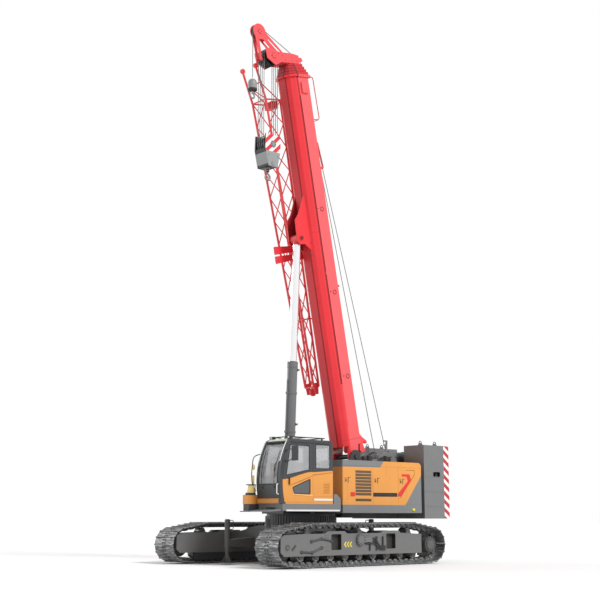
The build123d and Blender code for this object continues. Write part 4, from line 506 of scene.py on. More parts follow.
def make_finishes():
    """Every finish by its name."""
    return {
        "track": track_finish(),
        "chassis": painted("Chassis grey", (0.085, 0.087, 0.089), roughness=0.45),
        "deck": painted("Deck grey", (0.05, 0.051, 0.053), roughness=0.45),
        "frame": frame_finish(),
        "skirt": skirt_finish(),
        "weight": weight_finish(),
        "cab": cab_finish(),
        "cab_door": door_finish(),
        "hood": hood_finish(),
        # The boom's red, with its lower shell and belly reds darkened as painted shade.
        "boom": boom_finish("Boom red", boom_lit_red, (0.78, 0.03, 0.04), (0.62, 0.022, 0.03)),
        # Section red takes the same painted shade on its lower shell and belly.
        "inner_red": boom_finish(
            "Section red", (0.6, 0.025, 0.035), (0.5, 0.02, 0.028), (0.36, 0.016, 0.022),
        ),
        # Head red is close to the boom's lit red, lightened as painted light.
        "head_red": painted("Head red", (0.86, 0.085, 0.095), dust=0.0),
        "arm_red": painted("Arm red", (0.8, 0.03, 0.045), dust=0.0),
        "red": painted("Jib red", (0.68, 0.04, 0.05), dust=0.0),
        "orange": painted("Trim orange", cab_orange),
        "barrel": painted("Barrel grey", (0.155, 0.158, 0.163), roughness=0.28),
        "rod": rod_finish(),
        "joint_red": painted("Joint red", (0.16, 0.008, 0.012), dust=0.0),
        "forging": metal("Forged steel", (0.26, 0.26, 0.26), 0.4),
        "steel": metal("Bright steel", (0.5, 0.5, 0.5), 0.28),
        "dark_steel": metal("Dark steel", (0.1, 0.1, 0.105), 0.4),
        "sheave": metal("Sheave steel", (0.07, 0.072, 0.075), 0.38, 0.15),
        "hook": painted("Hook grey", (0.27, 0.275, 0.275), roughness=0.42, dust=0.0),
        "block": block_finish(),
        "rope": rope_finish(),
        "rubber": rubber("Black rubber"),
        "trim": rubber("Black moulded trim", (0.024, 0.024, 0.026)),
        "lining": rubber("Cab lining", (0.5, 0.47, 0.43)),
        "white": painted("White trim", (0.86, 0.86, 0.85), dust=0.0),
        "yellow": painted("Yellow paint", (0.78, 0.6, 0.05), dust=0.0),
        "pale_yellow": painted("Pale yellow paint", (0.84, 0.62, 0.22), dust=0.0),
        "glass": glass_finish("Cab glass", (0.52, 0.53, 0.55), 0.36, 2.29),
        "roof_glass": glass_finish("Roof glass", (0.62, 0.68, 0.5), 0.75),
        "clear_lens": glass_finish("Clear lens", (0.8, 0.82, 0.85), 0.8),
        "mirror": metal("Mirror glass", (0.85, 0.86, 0.87), 0.03, 0.0),
        "seat_cloth": cloth_finish("Cushion cloth", (0.66, 0.52, 0.36)),
        "screen": rubber("Dark screen", (0.01, 0.02, 0.035)),
    }


# Nodes of the frame by the finish that covers them
node_finishes = {
    "track": ("left_track", "right_track", "track_rollers"),
    "frame": ("left_track_frame", "right_track_frame"),
    "chassis": (
        "car_body", "jack_arms", "jack_leg_front_left", "jack_leg_front_right", "jack_leg_rear_left",
        "jack_leg_rear_right", "drive_sprockets", "idlers", "slew_bearing",
    ),
    "deck": ("turntable", "main_drum", "aux_drum", "engine_block"),
    "skirt": ("side_decks", "cab_platform", "winch_frame"),
    "trim": ("roof_rails",),
    "weight": ("counterweight",),
    "cab": ("cab_shell",),
    "cab_door": ("cab_door",),
    "hood": ("engine_hood", "hood_door_1", "hood_door_2", "hood_door_3", "right_hood"),
    "boom": ("boom_base",),
    "head_red": ("boom_head", "lattice_jib", "jib_brackets"),
    "inner_red": ("boom_section_2", "boom_section_3", "boom_section_4", "boom_section_5"),
    "rod": ("luff_rod",),
    "barrel": ("luff_barrel",),
    "block": ("hook_block",),
    "glass": ("cab_windows", "cab_door_glass"),
}


# Shapes

def finish_mesh(mesh, material, smooth=35):
    """Merges a mesh, turns its faces outwards and shades it smooth up to an angle."""
    work = bmesh.new()
    work.from_mesh(mesh)
    bmesh.ops.remove_doubles(work, verts=work.verts, dist=2e-5)
    bmesh.ops.recalc_face_normals(work, faces=work.faces)
    work.to_mesh(mesh)
    work.free()
    mesh.materials.clear()
    mesh.materials.append(material)
    mesh.shade_smooth()
    mesh.set_sharp_from_angle(angle=radians(smooth))


def evaluated(piece):
    """Plain mesh of an object with its modifiers applied."""
    return bpy.data.meshes.new_from_object(piece.evaluated_get(bpy.context.evaluated_depsgraph_get()))


def add_piece(name, mesh, body, replaces=(), blend=None):
    """Makes a mesh a piece of the crane: it rides on a body, or, given a blend, stays unattached with its
    transform baked in.
    """
    piece = bpy.data.objects.new(name, mesh)
    bpy.context.scene.collection.objects.link(piece)
    if replaces:
        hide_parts(*replaces)
    if blend:
        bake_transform(piece)
    else:
        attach(piece, body)


class Form:
    """Closed solids gathered in one mesh, in metres."""

    def __init__(self):
        self.work = bmesh.new()

    def skin(self, rings, loop=False):
        """Joins rings of points into a closed skin."""
        rings = [[self.work.verts.new(point) for point in ring] for ring in rings]
        pairs = list(zip(rings, rings[1:]))
        if loop:
            pairs.append((rings[-1], rings[0]))
        faces = []
        for lower, upper in pairs:
            for index in range(len(lower)):
                after = (index + 1) % len(lower)
                faces.append(self.work.faces.new((lower[index], lower[after], upper[after], upper[index])))
        if not loop:
            faces.append(self.work.faces.new(rings[0][::-1]))
            faces.append(self.work.faces.new(rings[-1]))
        return faces

    def soften(self, faces, width):
        """Rounds the edges of a solid just made."""
        edges = list({edge for face in faces for edge in face.edges if edge.calc_face_angle(0) > 0.5})
        bmesh.ops.recalc_face_normals(self.work, faces=faces)
        bmesh.ops.bevel(self.work, geom=edges, offset=width, segments=2, affect="EDGES", profile=0.5)

    def plate(self, outline, depth, bevel=0.0):
        """Flat outline pulled along a vector."""
        outline = [Vector(point) for point in outline]
        faces = self.skin([outline, [point + Vector(depth) for point in outline]])
        if bevel:
            self.soften(faces, bevel)

    def side_plate(self, outline, y, depth, bevel=0.0):
        """Plate whose outline is given as (x, z) at one y, pulled along y."""
        self.plate([(x, y, z) for x, z in outline], (0, depth, 0), bevel)

    def boom_plate(self, outline, y, depth, bevel=0.0):
        """Plate whose outline is given along the boom and above its axis."""
        self.plate([on_boom(along, up, y) for along, up in outline], (0, depth, 0), bevel)

    def box(self, low, high, bevel=0.0):
        """Upright box between two corners."""
        (x0, y0, z0), (x1, y1, z1) = low, high
        self.plate([(x0, y0, z0), (x1, y0, z0), (x1, y1, z0), (x0, y1, z0)], (0, 0, z1 - z0), bevel)

    def pipe(self, points, radius, sides=10, closed=False):
        """Round bar along a line. Its radius is one number, or one for each point."""
        points = [Vector(point) for point in points]
        radii = radius if isinstance(radius, (list, tuple)) else [radius] * len(points)
        ahead = points[1:] + points[:1] if closed else points[1:] + [points[-1] * 2 - points[-2]]
        behind = points[-1:] + points[:-1] if closed else [points[0] * 2 - points[1]] + points[:-1]
        normal = (ahead[0] - behind[0]).orthogonal().normalized()
        rings = []
        for point, before, after, size in zip(points, behind, ahead, radii):
            run = (after - before).normalized()
            normal = (normal - run * normal.dot(run)).normalized()
            across = run.cross(normal)
            rings.append([point + (normal * cos(turn) + across * sin(turn)) * size for turn in turns(sides)])
        self.skin(rings, closed)

    def turned(self, profile, origin, axis, sides=32, loop=False):
        """Turned form. Its profile is a list of (radius, place along the axis)."""
        axis = Vector(axis).normalized()
        across = axis.orthogonal().normalized()
        third = axis.cross(across)
        origin = Vector(origin)
        spokes = [across * cos(turn) + third * sin(turn) for turn in turns(sides)]
        rings = []
        for radius, along in profile:
            rings.append([origin + axis * along + spoke * max(radius, 1e-6) for spoke in spokes])
        self.skin(rings, loop)

    def disc(self, centre, axis, radius, depth, sides=24):
        """Flat disc with a small chamfer, standing on its centre along an axis."""
        edge = min(depth, radius) * 0.25
        self.turned(
            [(radius, 0), (radius, depth - edge), (radius - edge, depth), (0, depth)], centre, axis, sides,
        )

    def make(self, name, finish, body, slot, replaces=()):
        """Closes the form into a piece of the crane."""
        mesh = bpy.data.meshes.new(name)
        self.work.to_mesh(mesh)
        self.work.free()
        finish_mesh(mesh, kit[finish])
        add_piece(name, mesh, body, replaces)


# Geometry Nodes recipes

class Recipe(Graph):
    """A Geometry Nodes tree under construction, with named inputs for its sizes."""

    def __init__(self, name, **inputs):
        super().__init__(bpy.data.node_groups.new(name, "GeometryNodeTree"))
        sockets = self.tree.interface
        sockets.new_socket("Geometry", in_out="INPUT", socket_type="NodeSocketGeometry")
        self.identifiers = {}
        for label, kind in inputs.items():
            made = sockets.new_socket(label.replace("_", " "), in_out="INPUT", socket_type=kind)
            self.identifiers[label] = made.identifier
        finish = sockets.new_socket("Finish", in_out="INPUT", socket_type="NodeSocketMaterial")
        self.identifiers["Finish"] = finish.identifier
        sockets.new_socket("Geometry", in_out="OUTPUT", socket_type="NodeSocketGeometry")
        self.given = self.node("NodeGroupInput").outputs

    def close(self, geometry):
        """Ends the tree in realised geometry with its finish."""
        solid = self.node("GeometryNodeRealizeInstances", {}, {"Geometry": geometry}).outputs[0]
        done = self.node(
            "GeometryNodeSetMaterial", {}, {"Geometry": solid, "Material": self.given["Finish"]},
        ).outputs[0]
        self.node("NodeGroupOutput", {}, {"Geometry": done})

    def grow(self, name, mesh, material, smooth=35, **sizes):
        """Runs the tree on a mesh and returns a plain mesh."""
        carrier = bpy.data.objects.new(name, mesh)
        bpy.context.scene.collection.objects.link(carrier)
        modifier = carrier.modifiers.new("recipe", "NODES")
        modifier.node_group = self.tree
        for label, size in sizes.items():
            modifier[self.identifiers[label]] = size
        modifier[self.identifiers["Finish"]] = material
        grown = evaluated(carrier)
        carrier.modifiers.clear()
        bpy.data.objects.remove(carrier)
        finish_mesh(grown, material, smooth)
        return grown


def stud_recipe():
    """Bolt heads, pins or treads: one on each point, standing along the point's own direction."""
    recipe = Recipe("Studs", Corners="NodeSocketInt", Radius="NodeSocketFloat", Height="NodeSocketFloat")
    given = recipe.given
    head = recipe.node("GeometryNodeMeshCone", {}, {
        "Vertices": given["Corners"],
        "Radius Top": Value(recipe, given["Radius"]) * 0.86,
        "Radius Bottom": given["Radius"],
        "Depth": given["Height"],
    }).outputs["Mesh"]
    out = recipe.node(
        "GeometryNodeInputNamedAttribute", {"data_type": "FLOAT_VECTOR"}, {"Name": "out"},
    ).outputs[0]
    turn = recipe.node("FunctionNodeAlignRotationToVector", {"axis": "Z"}, {"Vector": out}).outputs[0]
    spread = recipe.node("GeometryNodeInstanceOnPoints", {}, {
        "Points": given["Geometry"],
        "Instance": head,
        "Rotation": turn,
    }).outputs[0]
    recipe.close(spread)
    return recipe


def rope_recipe():
    """Laid rope of six strands that follows a line."""
    recipe = Recipe("Laid rope", Radius="NodeSocketFloat", Lay="NodeSocketFloat", Step="NodeSocketFloat")
    given = recipe.given
    curve = recipe.node("GeometryNodeMeshToCurve", {}, {"Mesh": given["Geometry"]}).outputs[0]
    evened = recipe.node(
        "GeometryNodeResampleCurve", {"mode": "LENGTH"}, {"Curve": curve, "Length": given["Step"]},
    ).outputs[0]
    along = Value(recipe, recipe.node("GeometryNodeSplineParameter").outputs["Length"])
    twist = along * (2 * pi) / Value(recipe, given["Lay"])
    laid = recipe.node("GeometryNodeSetCurveTilt", {}, {"Curve": evened, "Tilt": twist}).outputs[0]
    circle = recipe.node("GeometryNodeCurvePrimitiveCircle", {"mode": "RADIUS"}, {
        "Resolution": 12,
        "Radius": given["Radius"],
    }).outputs["Curve"]
    valley = Value(recipe, recipe.node("GeometryNodeInputIndex").outputs[0]) % 2.0
    place = recipe.node("GeometryNodeInputPosition").outputs[0]
    pulled = recipe.node(
        "ShaderNodeVectorMath", {"operation": "SCALE"}, {0: place, "Scale": 1.0 - valley * 0.2},
    ).outputs[0]
    section = recipe.node("GeometryNodeSetPosition", {}, {"Geometry": circle, "Position": pulled}).outputs[0]
    tube = recipe.node(
        "GeometryNodeCurveToMesh", {}, {"Curve": laid, "Profile Curve": section, "Fill Caps": True},
    ).outputs[0]
    recipe.close(tube)
    return recipe


# Finishes and recipes by name, filled in by the paint operator
kit = {}


def studs(name, places, radius, height, finish, body, corners=6):
    """Bolt heads on given places. Each is a point and the direction in which the head stands."""
    mesh = bpy.data.meshes.new(name)
    mesh.from_pydata([Vector(point) for point, out in places], [], [])
    out = mesh.attributes.new("out", "FLOAT_VECTOR", "POINT")
    out.data.foreach_set(
        "vector", [number for point, direction in places for number in Vector(direction).normalized()],
    )
    grown = kit["studs"].grow(name, mesh, kit[finish], Corners=corners, Radius=radius, Height=height)
    add_piece(name, grown, body)


def ring_of(centre, axis, radius, count):
    """Places on a circle that all face along its axis."""
    axis = Vector(axis).normalized()
    across = axis.orthogonal().normalized()
    third = axis.cross(across)
    centre = Vector(centre)
    spokes = [across * cos(turn) + third * sin(turn) for turn in turns(count)]
    return [(centre + spoke * radius, axis) for spoke in spokes]


def both(centre, off, radius, count):
    """Places on two circles that face left and right, at a distance on either side of a centre."""
    places = []
    for hand in (1, -1):
        places += ring_of(Vector(centre) + Vector((0, hand * off, 0)), (0, hand, 0), radius, count)
    return places


def ropes(name, lines, body=None, replaces=(), blend=None, closed=False, step=0.018):
    """Ropes laid along lines of points."""
    points, edges = [], []
    for line in lines:
        first = len(points)
        points += [Vector(point) for point in line]
        edges += [(index, index + 1) for index in range(first, len(points) - 1)]
        if closed:
            edges.append((len(points) - 1, first))
    mesh = bpy.data.meshes.new(name)
    mesh.from_pydata(points, edges, [])
    grown = kit["ropes"].grow(name, mesh, kit["rope"], 70, Radius=rope_radius * 1.1, Lay=0.15, Step=step)
    add_piece(name, grown, body, replaces, blend)


class CraneStudioSettings(bpy.types.PropertyGroup):
    """Studio round the crane."""

    floor_colour: bpy.props.FloatVectorProperty(
        name="Floor",
        description="Colour of the studio floor",
        default=(0.97, 0.97, 0.97),
        subtype="COLOR",
        size=3,
        min=0,
        max=1,
    )
    camera_place: bpy.props.FloatVectorProperty(
        name="Camera place",
        description="Where the camera stands",
        default=(21.914, 24.039, 1.288),
        subtype="TRANSLATION",
        unit="LENGTH",
        size=3,
    )
    camera_turn: bpy.props.FloatProperty(
        name="Camera turn",
        description="Direction in which the camera looks, counted from the crane's forward axis",
        default=radians(227.688),
        subtype="ANGLE",
        unit="ROTATION",
    )
    camera_rise: bpy.props.FloatProperty(
        name="Camera rise",
        description="Angle by which the camera looks up",
        default=radians(10.754),
        subtype="ANGLE",
        unit="ROTATION",
    )
    camera_lens: bpy.props.FloatProperty(
        name="Lens",
        description="Focal length on a 36 mm sensor",
        default=68.34,
        subtype="DISTANCE_CAMERA",
    )


class CRANE_OT_paint(bpy.types.Operator):
    """Gives every piece of the frame its finish"""

    bl_idname = "crane.paint"
    bl_label = "Paint the crane"

    def execute(self, context):
        kit.update(make_finishes())
        kit["studs"] = stud_recipe()
        kit["ropes"] = rope_recipe()
        for finish, names in node_finishes.items():
            for name in names:
                nodes[name].data.materials.clear()
                nodes[name].data.materials.append(kit[finish])
        return {"FINISHED"}


def belt_line():
    """Closed line of the belt's outer face, from where it meets the ground at the rear."""
    # x, z and radius of what the face runs round
    corners = ((track_end_x, wheel_z, 0.48), (1.9, 0.87, 0.26), (track_ground_x, 0.3, 0.3))
    wheels = [(hand * x, z, radius) for hand in (1, -1) for x, z, radius in corners]
    hull = []
    for turn in turns(2880):
        x, z, radius = max(wheels, key=lambda wheel: wheel[0] * cos(turn) + wheel[1] * sin(turn) + wheel[2])
        hull.append(Vector((x + radius * cos(turn), 0, z + radius * sin(turn))))
    rear = Vector((-track_ground_x, 0, 0))
    ground = min(range(len(hull)), key=lambda index: (hull[index] - rear).length)
    return hull[ground:] + hull[:ground] + [hull[ground]]


class CRANE_OT_track_fittings(bpy.types.Operator):
    """Bolts the shoes to their links and gives the links their pins"""

    bl_idname = "crane.track_fittings"
    bl_label = "Track fittings"

    def execute(self, context):
        hull = belt_line()
        lengths = [0.0]
        for start, end in zip(hull, hull[1:]):
            lengths.append(lengths[-1] + (end - start).length)
        shoe_count = round(lengths[-1] / 0.215)
        pitch = lengths[-1] / shoe_count
        first_shoe = track_ground_x - 2.0605

        def belt(distance):
            """Point on the belt, the outward direction there and the direction of its run."""
            distance %= lengths[-1]
            index = max(place for place, length in enumerate(lengths[:-1]) if length <= distance)
            run = hull[index + 1] - hull[index]
            share = (distance - lengths[index]) / run.length
            run = run.normalized()
            return hull[index] + (hull[index + 1] - hull[index]) * share, Vector((run.z, 0, -run.x)), run

        bolts, pins = [], []
        for index in range(shoe_count):
            spot, out, run = belt(first_shoe + index * pitch)
            for hand in (1, -1):
                for shift in (-0.03, 0.055):
                    for side in (0.05, -0.05):
                        place = spot + run * shift - out * 0.023
                        bolts.append((place + Vector((0, hand * track_y + side, 0)), out))
                for side in (1, -1):
                    place = spot - out * 0.085 + Vector((0, hand * track_y + side * 0.1145, 0))
                    pins.append((place + run * pitch * 0.28, (0, side, 0)))
        studs("shoe_bolts", bolts, 0.02, 0.014, "rubber", "undercarriage")
        studs("link_pins", pins, 0.024, 0.008, "dark_steel", "undercarriage", 12)
        return {"FINISHED"}


def frame_fittings():
    """Bolts, pipes, recess covers and markers of the side frames."""
    bolts, nuts = [], []
    for x, z, face, radius, count in (
        (-track_end_x, wheel_z, frame_face, 0.193, 18),
        (-track_end_x, wheel_z, 2.463, 0.14, 12),
        (track_end_x, wheel_z, 2.453, 0.05, 6),
        (0.12, 0.69, 2.509, 0.122, 10),
    ):
        bolts += both((x, 0, z), face, radius, count)
    for hand in (1, -1):
        for x in (-0.86, -0.78, 1.28, 1.36):
            for z in (0.42, 0.52, 0.75, 0.8):
                nuts.append(((x, hand * frame_face, z), (0, hand, 0)))
        for x in (0.6, 0.92):
            for z in (0.5, 0.62, 0.74):
                for face in (1.151, -1.151):
                    nuts.append(((hand * x, face, z), (0, face, 0)))
    studs("hub_bolts", bolts, 0.016, 0.014, "dark_steel", "undercarriage")
    studs("frame_bolts", nuts, 0.014, 0.01, "chassis", "undercarriage")

    pipes, covers, markers = Form(), Form(), Form()
    for hand in (1, -1):
        y = hand * 2.47
        for z, low in ((0.72, 0.5), (0.65, 0.46), (0.58, 0.42)):
            line = [(-0.06, y, z), (-0.42, y, z), (-0.62, y, low), (-0.84, y, low), (-0.84, hand * 2.41, low)]
            pipes.pipe(rounded(line, 0.06), 0.017)
        for x in (-0.24, -0.5, -0.74):
            pipes.box((x - 0.025, min(y, hand * 2.43), 0.4), (x + 0.025, max(y, hand * 2.43), 0.76), 0.006)
        for x0, z0, x1, z1 in (
            (1.86, 0.66, 1.5, 0.72), (1.5, 0.72, 1.16, 0.66), (2.2, 0.4, 1.84, 0.38), (1.84, 0.38, 1.5, 0.5),
        ):
            covers.pipe([(x0, hand * 2.445, z0), (x1, hand * 2.445, z1)], 0.024, 8)
        for x, z in ((1.86, 0.66), (1.5, 0.72), (1.16, 0.66), (2.2, 0.4), (1.84, 0.38), (1.5, 0.5)):
            covers.disc((x, hand * 2.438, z), (0, hand, 0), 0.042, 0.03, 16)
        covers.disc((2.47, hand * 2.4395, 0.496), (0, hand, 0), 0.035, 0.004, 20)
        slot = rounded([(2.5, 0, 0.42), (2.56, 0, 0.46), (2.42, 0, 0.6), (2.36, 0, 0.56)], 0.04, 3, True)
        covers.side_plate([(point.x, point.z) for point in slot], hand * 2.4395, hand * 0.003)
        for x in (0.45, 0.55, 0.65):
            chevron = [
                (x + 0.055, 0.57), (x, 0.64), (x - 0.045, 0.64), (x + 0.01, 0.57), (x - 0.045, 0.5), (x, 0.5),
            ]
            markers.side_plate(chevron, hand * 2.4395, hand * 0.003)
        guard = sorted((hand * 1.9, hand * 1.915))
        covers.box((-2.2, guard[0], 0.09), (2.25, guard[1], 0.36), 0.004)
    pipes.make("travel_pipes", "trim", "undercarriage", "trim_black")
    covers.make("adjuster_links", "dark_steel", "undercarriage", "chassis_grey")
    markers.make("direction_markers", "yellow", "undercarriage", "chassis_grey")


def jack_fittings():
    """Handles, pins and float bolts of the four jacks."""
    handles = Form()
    for end, x in (("f", 1.95), ("r", -1.95)):
        for side, y in (("l", 0.85), ("r", -0.85)):
            inward = Vector((-0.74 if x > 0 else 0.74, -0.67 if y > 0 else 0.67, 0))
            near, far = Vector((x, y, 0)) + inward * 0.06, Vector((x, y, 0)) + inward * 0.16
            top, bottom = Vector((0, 0, 1.18)), Vector((0, 0, 0.94))
            handles.pipe(rounded([near + top, far + top, far + bottom, near + bottom], 0.03), 0.011, 8)
            handles.disc((x, y, 1.199), (0, 0, 1), 0.06, 0.014, 20)
            handles.pipe([(x, y - 0.1, 0.72), (x, y + 0.1, 0.72)], 0.014, 10)
            body = f"jack_leg_{end}{side}"
            ring = ring_of((x, y, 0.0695), (0, 0, 1), 0.12, 8)
            studs(f"{body}_bolts", ring, 0.012, 0.01, "dark_steel", body)
    handles.make("jack_handles", "chassis", "undercarriage", "chassis_grey")


class CRANE_OT_undercarriage_fittings(bpy.types.Operator):
    """Adds bolts, pipes, recess covers and markers to the side frames, and handles to the jacks"""

    bl_idname = "crane.undercarriage_fittings"
    bl_label = "Undercarriage fittings"

    def execute(self, context):
        frame_fittings()
        jack_fittings()
        return {"FINISHED"}


def falls():
    """Falls of both hooks and the rope over the rooster arm."""
    reach = sheave_radius + rope_radius
    x = sheave_centre.x
    loops = []
    for y in sheave_rows:
        upper = arc((x, y, sheave_centre.z), reach, 0, pi, 20)
        lower = arc((x, y, block_sheave_z), reach, pi, 2 * pi, 20)
        loops.append(upper + lower)
    top, bottom = (x, 0, sheave_centre.z), (x, 0, block_sheave_z)
    ropes(
        "main_falls_rope", loops, replaces=["main_falls"], closed=True, step=0.03,
        blend=("main_hanger", "main_block", top, bottom),
    )

    reach = rooster_radius + rope_radius
    fall_x = rooster_centre.x + reach
    ball_top = 13.74
    line = [Vector((fall_x, 0, ball_top))] + arc(rooster_centre, reach, 0, radians(110), 12)
    ropes(
        "aux_fall_rope", [line], replaces=["aux_fall"],
        blend=("aux_hanger", "aux_block", tuple(rooster_centre), (rooster_centre.x, 0, ball_top)),
    )

    leave = rope_guide - rooster_centre
    tangent = atan2(leave.z, leave.x) - acos(reach / leave.length)
    line = arc(rooster_centre, reach, radians(60), tangent, 8) + [rope_guide + Vector((0, -0.012, 0))]
    ropes("rooster_rope", [line], body="boom_5")


def hoist_ropes():
    """Ropes from the drums to the head, cut where the boom's sections telescope."""
    lengths = []
    reach = drum_radius + rope_radius
    for centre, y in ((main_drum_centre, 0.03), (aux_drum_centre, -0.03)):
        away = rope_guide - centre
        turn = atan2(away.z, away.x) - acos(reach / away.length)
        start = centre + Vector((cos(turn) * reach, y * 3, sin(turn) * reach))
        lengths.append((start, rope_guide + Vector((0, y, 0))))
    stations = [None, 1.6, 4.2, 6.8, 9.4, None]
    bodies = ["superstructure", "boom_1", "boom_2", "boom_3", "boom_4", "boom_5"]

    def at(start, end, along):
        """Point of a straight rope at a distance along the boom."""
        first, last = (start - foot).dot(boom_axis), (end - foot).dot(boom_axis)
        return start + (end - start) * ((along - first) / (last - first))

    for index in range(5):
        lines = []
        for start, end in lengths:
            low = start if index == 0 else at(start, end, stations[index] - 0.002)
            high = end if index == 4 else at(start, end, stations[index + 1] + 0.002)
            pieces = 12 if index == 0 else 6
            lines.append([low + (high - low) * (step / pieces) for step in range(pieces + 1)])
        if index == 0:
            start, end = lengths[0][0], on_boom(stations[1], 1.1)
        else:
            start, end = on_boom(stations[index], 0), on_boom(stations[index + 1] or 11.9, 0)
        ropes(
            f"hoist_ropes_{index + 1}", lines,
            blend=(bodies[index], bodies[index + 1], tuple(start), tuple(end)),
        )


def drum_wraps():
    """Wraps of rope on both drums, and the bolts of the drums' flanges."""
    # Half of the drum's width, less its flange and half a rope
    width = 0.3 - 0.025 - 0.014
    wrap_pitch, wrap_points = 0.024, 28
    steps = int(2 * width / wrap_pitch) * wrap_points
    reach = drum_radius + rope_radius * 0.9
    for name, centre in (("main", main_drum_centre), ("aux", aux_drum_centre)):
        line = []
        for step in range(steps + 1):
            turn = 2 * pi * step / wrap_points
            y = -width + 2 * width * step / steps
            line.append(centre + Vector((cos(turn) * reach, y, sin(turn) * reach)))
        ropes(f"{name}_wraps", [line], body=f"winch_{name}", step=0.045)
        bolts = both(centre, 0.2995, 0.285, 16)
        studs(f"{name}_drum_bolts", bolts, 0.014, 0.01, "dark_steel", f"winch_{name}")


class CRANE_OT_ropes(bpy.types.Operator):
    """Lays the falls, the hoist ropes and the wraps on the drums"""

    bl_idname = "crane.ropes"
    bl_label = "Ropes"

    def execute(self, context):
        falls()
        hoist_ropes()
        drum_wraps()
        return {"FINISHED"}


def grooved(form, centre, radius, rim, half, hub, bore):
    """Sheave with a rope groove, a dished web and a hub."""
    profile = [
        (bore, -half), (hub, -half), (hub + 0.01, -half * 0.45), (radius - 0.05, -half * 0.4),
        (radius - 0.035, -half * 0.9), (rim, -half), (rim, -half * 0.72), (radius, -0.004),
        (radius, 0.004), (rim, half * 0.72), (rim, half), (radius - 0.035, half * 0.9),
        (radius - 0.05, half * 0.4), (hub + 0.01, half * 0.45), (hub, half), (bore, half),
    ]
    form.turned(profile, centre, (0, 1, 0), 48, loop=True)


class CRANE_OT_sheaves(bpy.types.Operator):
    """Makes the grooved sheaves of the head, the rooster arm and the hook block"""

    bl_idname = "crane.sheaves"
    bl_label = "Sheaves"

    def execute(self, context):
        head = Form()
        block = Form()
        for y in sheave_rows:
            grooved(head, sheave_centre + Vector((0, y, 0)), 0.249, 0.27, 0.026, 0.09, 0.0553)
            grooved(block, (sheave_centre.x, y, block_sheave_z), 0.249, 0.27, 0.026, 0.09, 0.0603)
        grooved(head, rooster_centre, 0.179, 0.21, 0.045, 0.07, 0.0403)
        head.make("head_sheave_set", "sheave", "boom_5", "sheave_black", ["head_sheaves"])
        block.make("block_sheave_set", "sheave", "main_block", "sheave_black", ["block_sheaves"])

        pins = both(sheave_centre, head_face, 0.085, 6) + both(rooster_centre, rooster_face, 0.07, 6)
        for along, up in ((11.83, -0.35), (11.83, -0.1), (11.83, 0.1), (11.95, -0.45), (12.0, -0.62)):
            for hand in (1, -1):
                pins.append((on_boom(along, up, hand * head_face), (0, hand, 0)))
        studs("head_bolts", pins, 0.014, 0.012, "dark_steel", "boom_5")

        caps = Form()
        for hand in (1, -1):
            caps.disc(sheave_centre + Vector((0, hand * head_face, 0)), (0, hand, 0), 0.068, 0.016)
            caps.disc(rooster_centre + Vector((0, hand * rooster_face, 0)), (0, hand, 0), 0.05, 0.014)
            caps.disc(on_boom(11.87, -1.15, hand * rooster_face), (0, hand, 0), 0.04, 0.012)
        caps.make("head_pin_caps", "head_red", "boom_5", "boom_red")
        return {"FINISHED"}


def forged_hook(form, x, top, size):
    """Hook whose bowl opens to the front, with its neck, point and a collar above."""
    centre = Vector((x, 0, top - size * 1.25))
    line = [
        Vector((x, 0, top + size * 0.05)), Vector((x, 0, top - size * 0.25)),
        Vector((x - size * 0.2, 0, top - size * 0.52)),
    ]
    radii = [size * 0.2, size * 0.21, size * 0.22]
    steps = 20
    for step in range(steps + 1):
        share = step / steps
        turn = radians(125) + radians(248) * share
        line.append(centre + Vector((cos(turn), 0, sin(turn))) * size * (0.745 - 0.02 * share))
        radii.append(size * (0.22 + 0.03 * sin(pi * share) - 0.1 * max(0, share - 0.6)))
    line.append(line[-1] + Vector((size * 0.07, 0, size * 0.16)))
    radii.append(size * 0.09)
    form.pipe(line, radii, 18)
    form.turned(
        [(size * 0.2, 0), (size * 0.32, 0.004), (size * 0.32, size * 0.1), (size * 0.2, size * 0.13)],
        (x, 0, top - size * 0.1), (0, 0, 1), 24,
    )


def hook_forgings():
    """Both hooks with their latches."""
    for name, body, hook_x, top, size in (
        ("main_hook", "main_block", block_x, 11.0597, 0.12),
        ("aux_hook", "aux_block", ball_x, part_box("aux_hook")[1].z, 0.1),
    ):
        form = Form()
        forged_hook(form, hook_x, top, size)
        form.make(f"{name}_forging", "forging", body, "hook_grey", [name])
        latch = Form()
        start = Vector((hook_x + size * 0.12, 0, top - size * 0.42))
        end = Vector((hook_x + size * 0.72, 0, top - size * 0.98))
        for y in (size * 0.1, -size * 0.1):
            latch.pipe([start + Vector((0, y, 0)), end + Vector((0, y * 0.8, 0))], size * 0.035, 8)
        latch.pipe(
            [start - Vector((0, size * 0.16, 0)), start + Vector((0, size * 0.16, 0))], size * 0.06, 10,
        )
        latch.pipe([end - Vector((0, size * 0.1, 0)), end + Vector((0, size * 0.1, 0))], size * 0.045, 8)
        latch.make(f"{name}_latch", "dark_steel", body, "hook_grey")


def block_fittings():
    """Pins, collars and bolts of the hook block."""
    fit = Form()
    for hand in (1, -1):
        fit.disc((block_x, hand * block_face, block_sheave_z), (0, hand, 0), 0.1, 0.022, 32)
        fit.disc((block_x, hand * block_face, 11.27), (0, hand, 0), 0.06, 0.02, 24)
        fit.pipe([(block_x + hand * 0.2, -0.199, 12.08), (block_x + hand * 0.2, 0.199, 12.08)], 0.016, 10)
    for z, radius in ((11.165, 0.085), (11.135, 0.075), (11.08, 0.06)):
        fit.turned(
            [(0.046, 0), (radius, 0.003), (radius, 0.022), (0.046, 0.025)], (block_x, 0, z), (0, 0, 1), 28,
        )
    fit.make("block_fittings", "hook", "main_block", "hook_grey")
    bolts = both((block_x, 0, block_sheave_z), 0.2665, 0.075, 8)
    for off, z in ((0.2, 12.08), (0.2, 11.66), (0.17, 11.5)):
        for side in (-1, 1):
            for hand in (1, -1):
                bolts.append(((block_x + side * off, hand * block_face, z), (0, hand, 0)))
    studs("block_bolts", bolts, 0.013, 0.012, "dark_steel", "main_block")


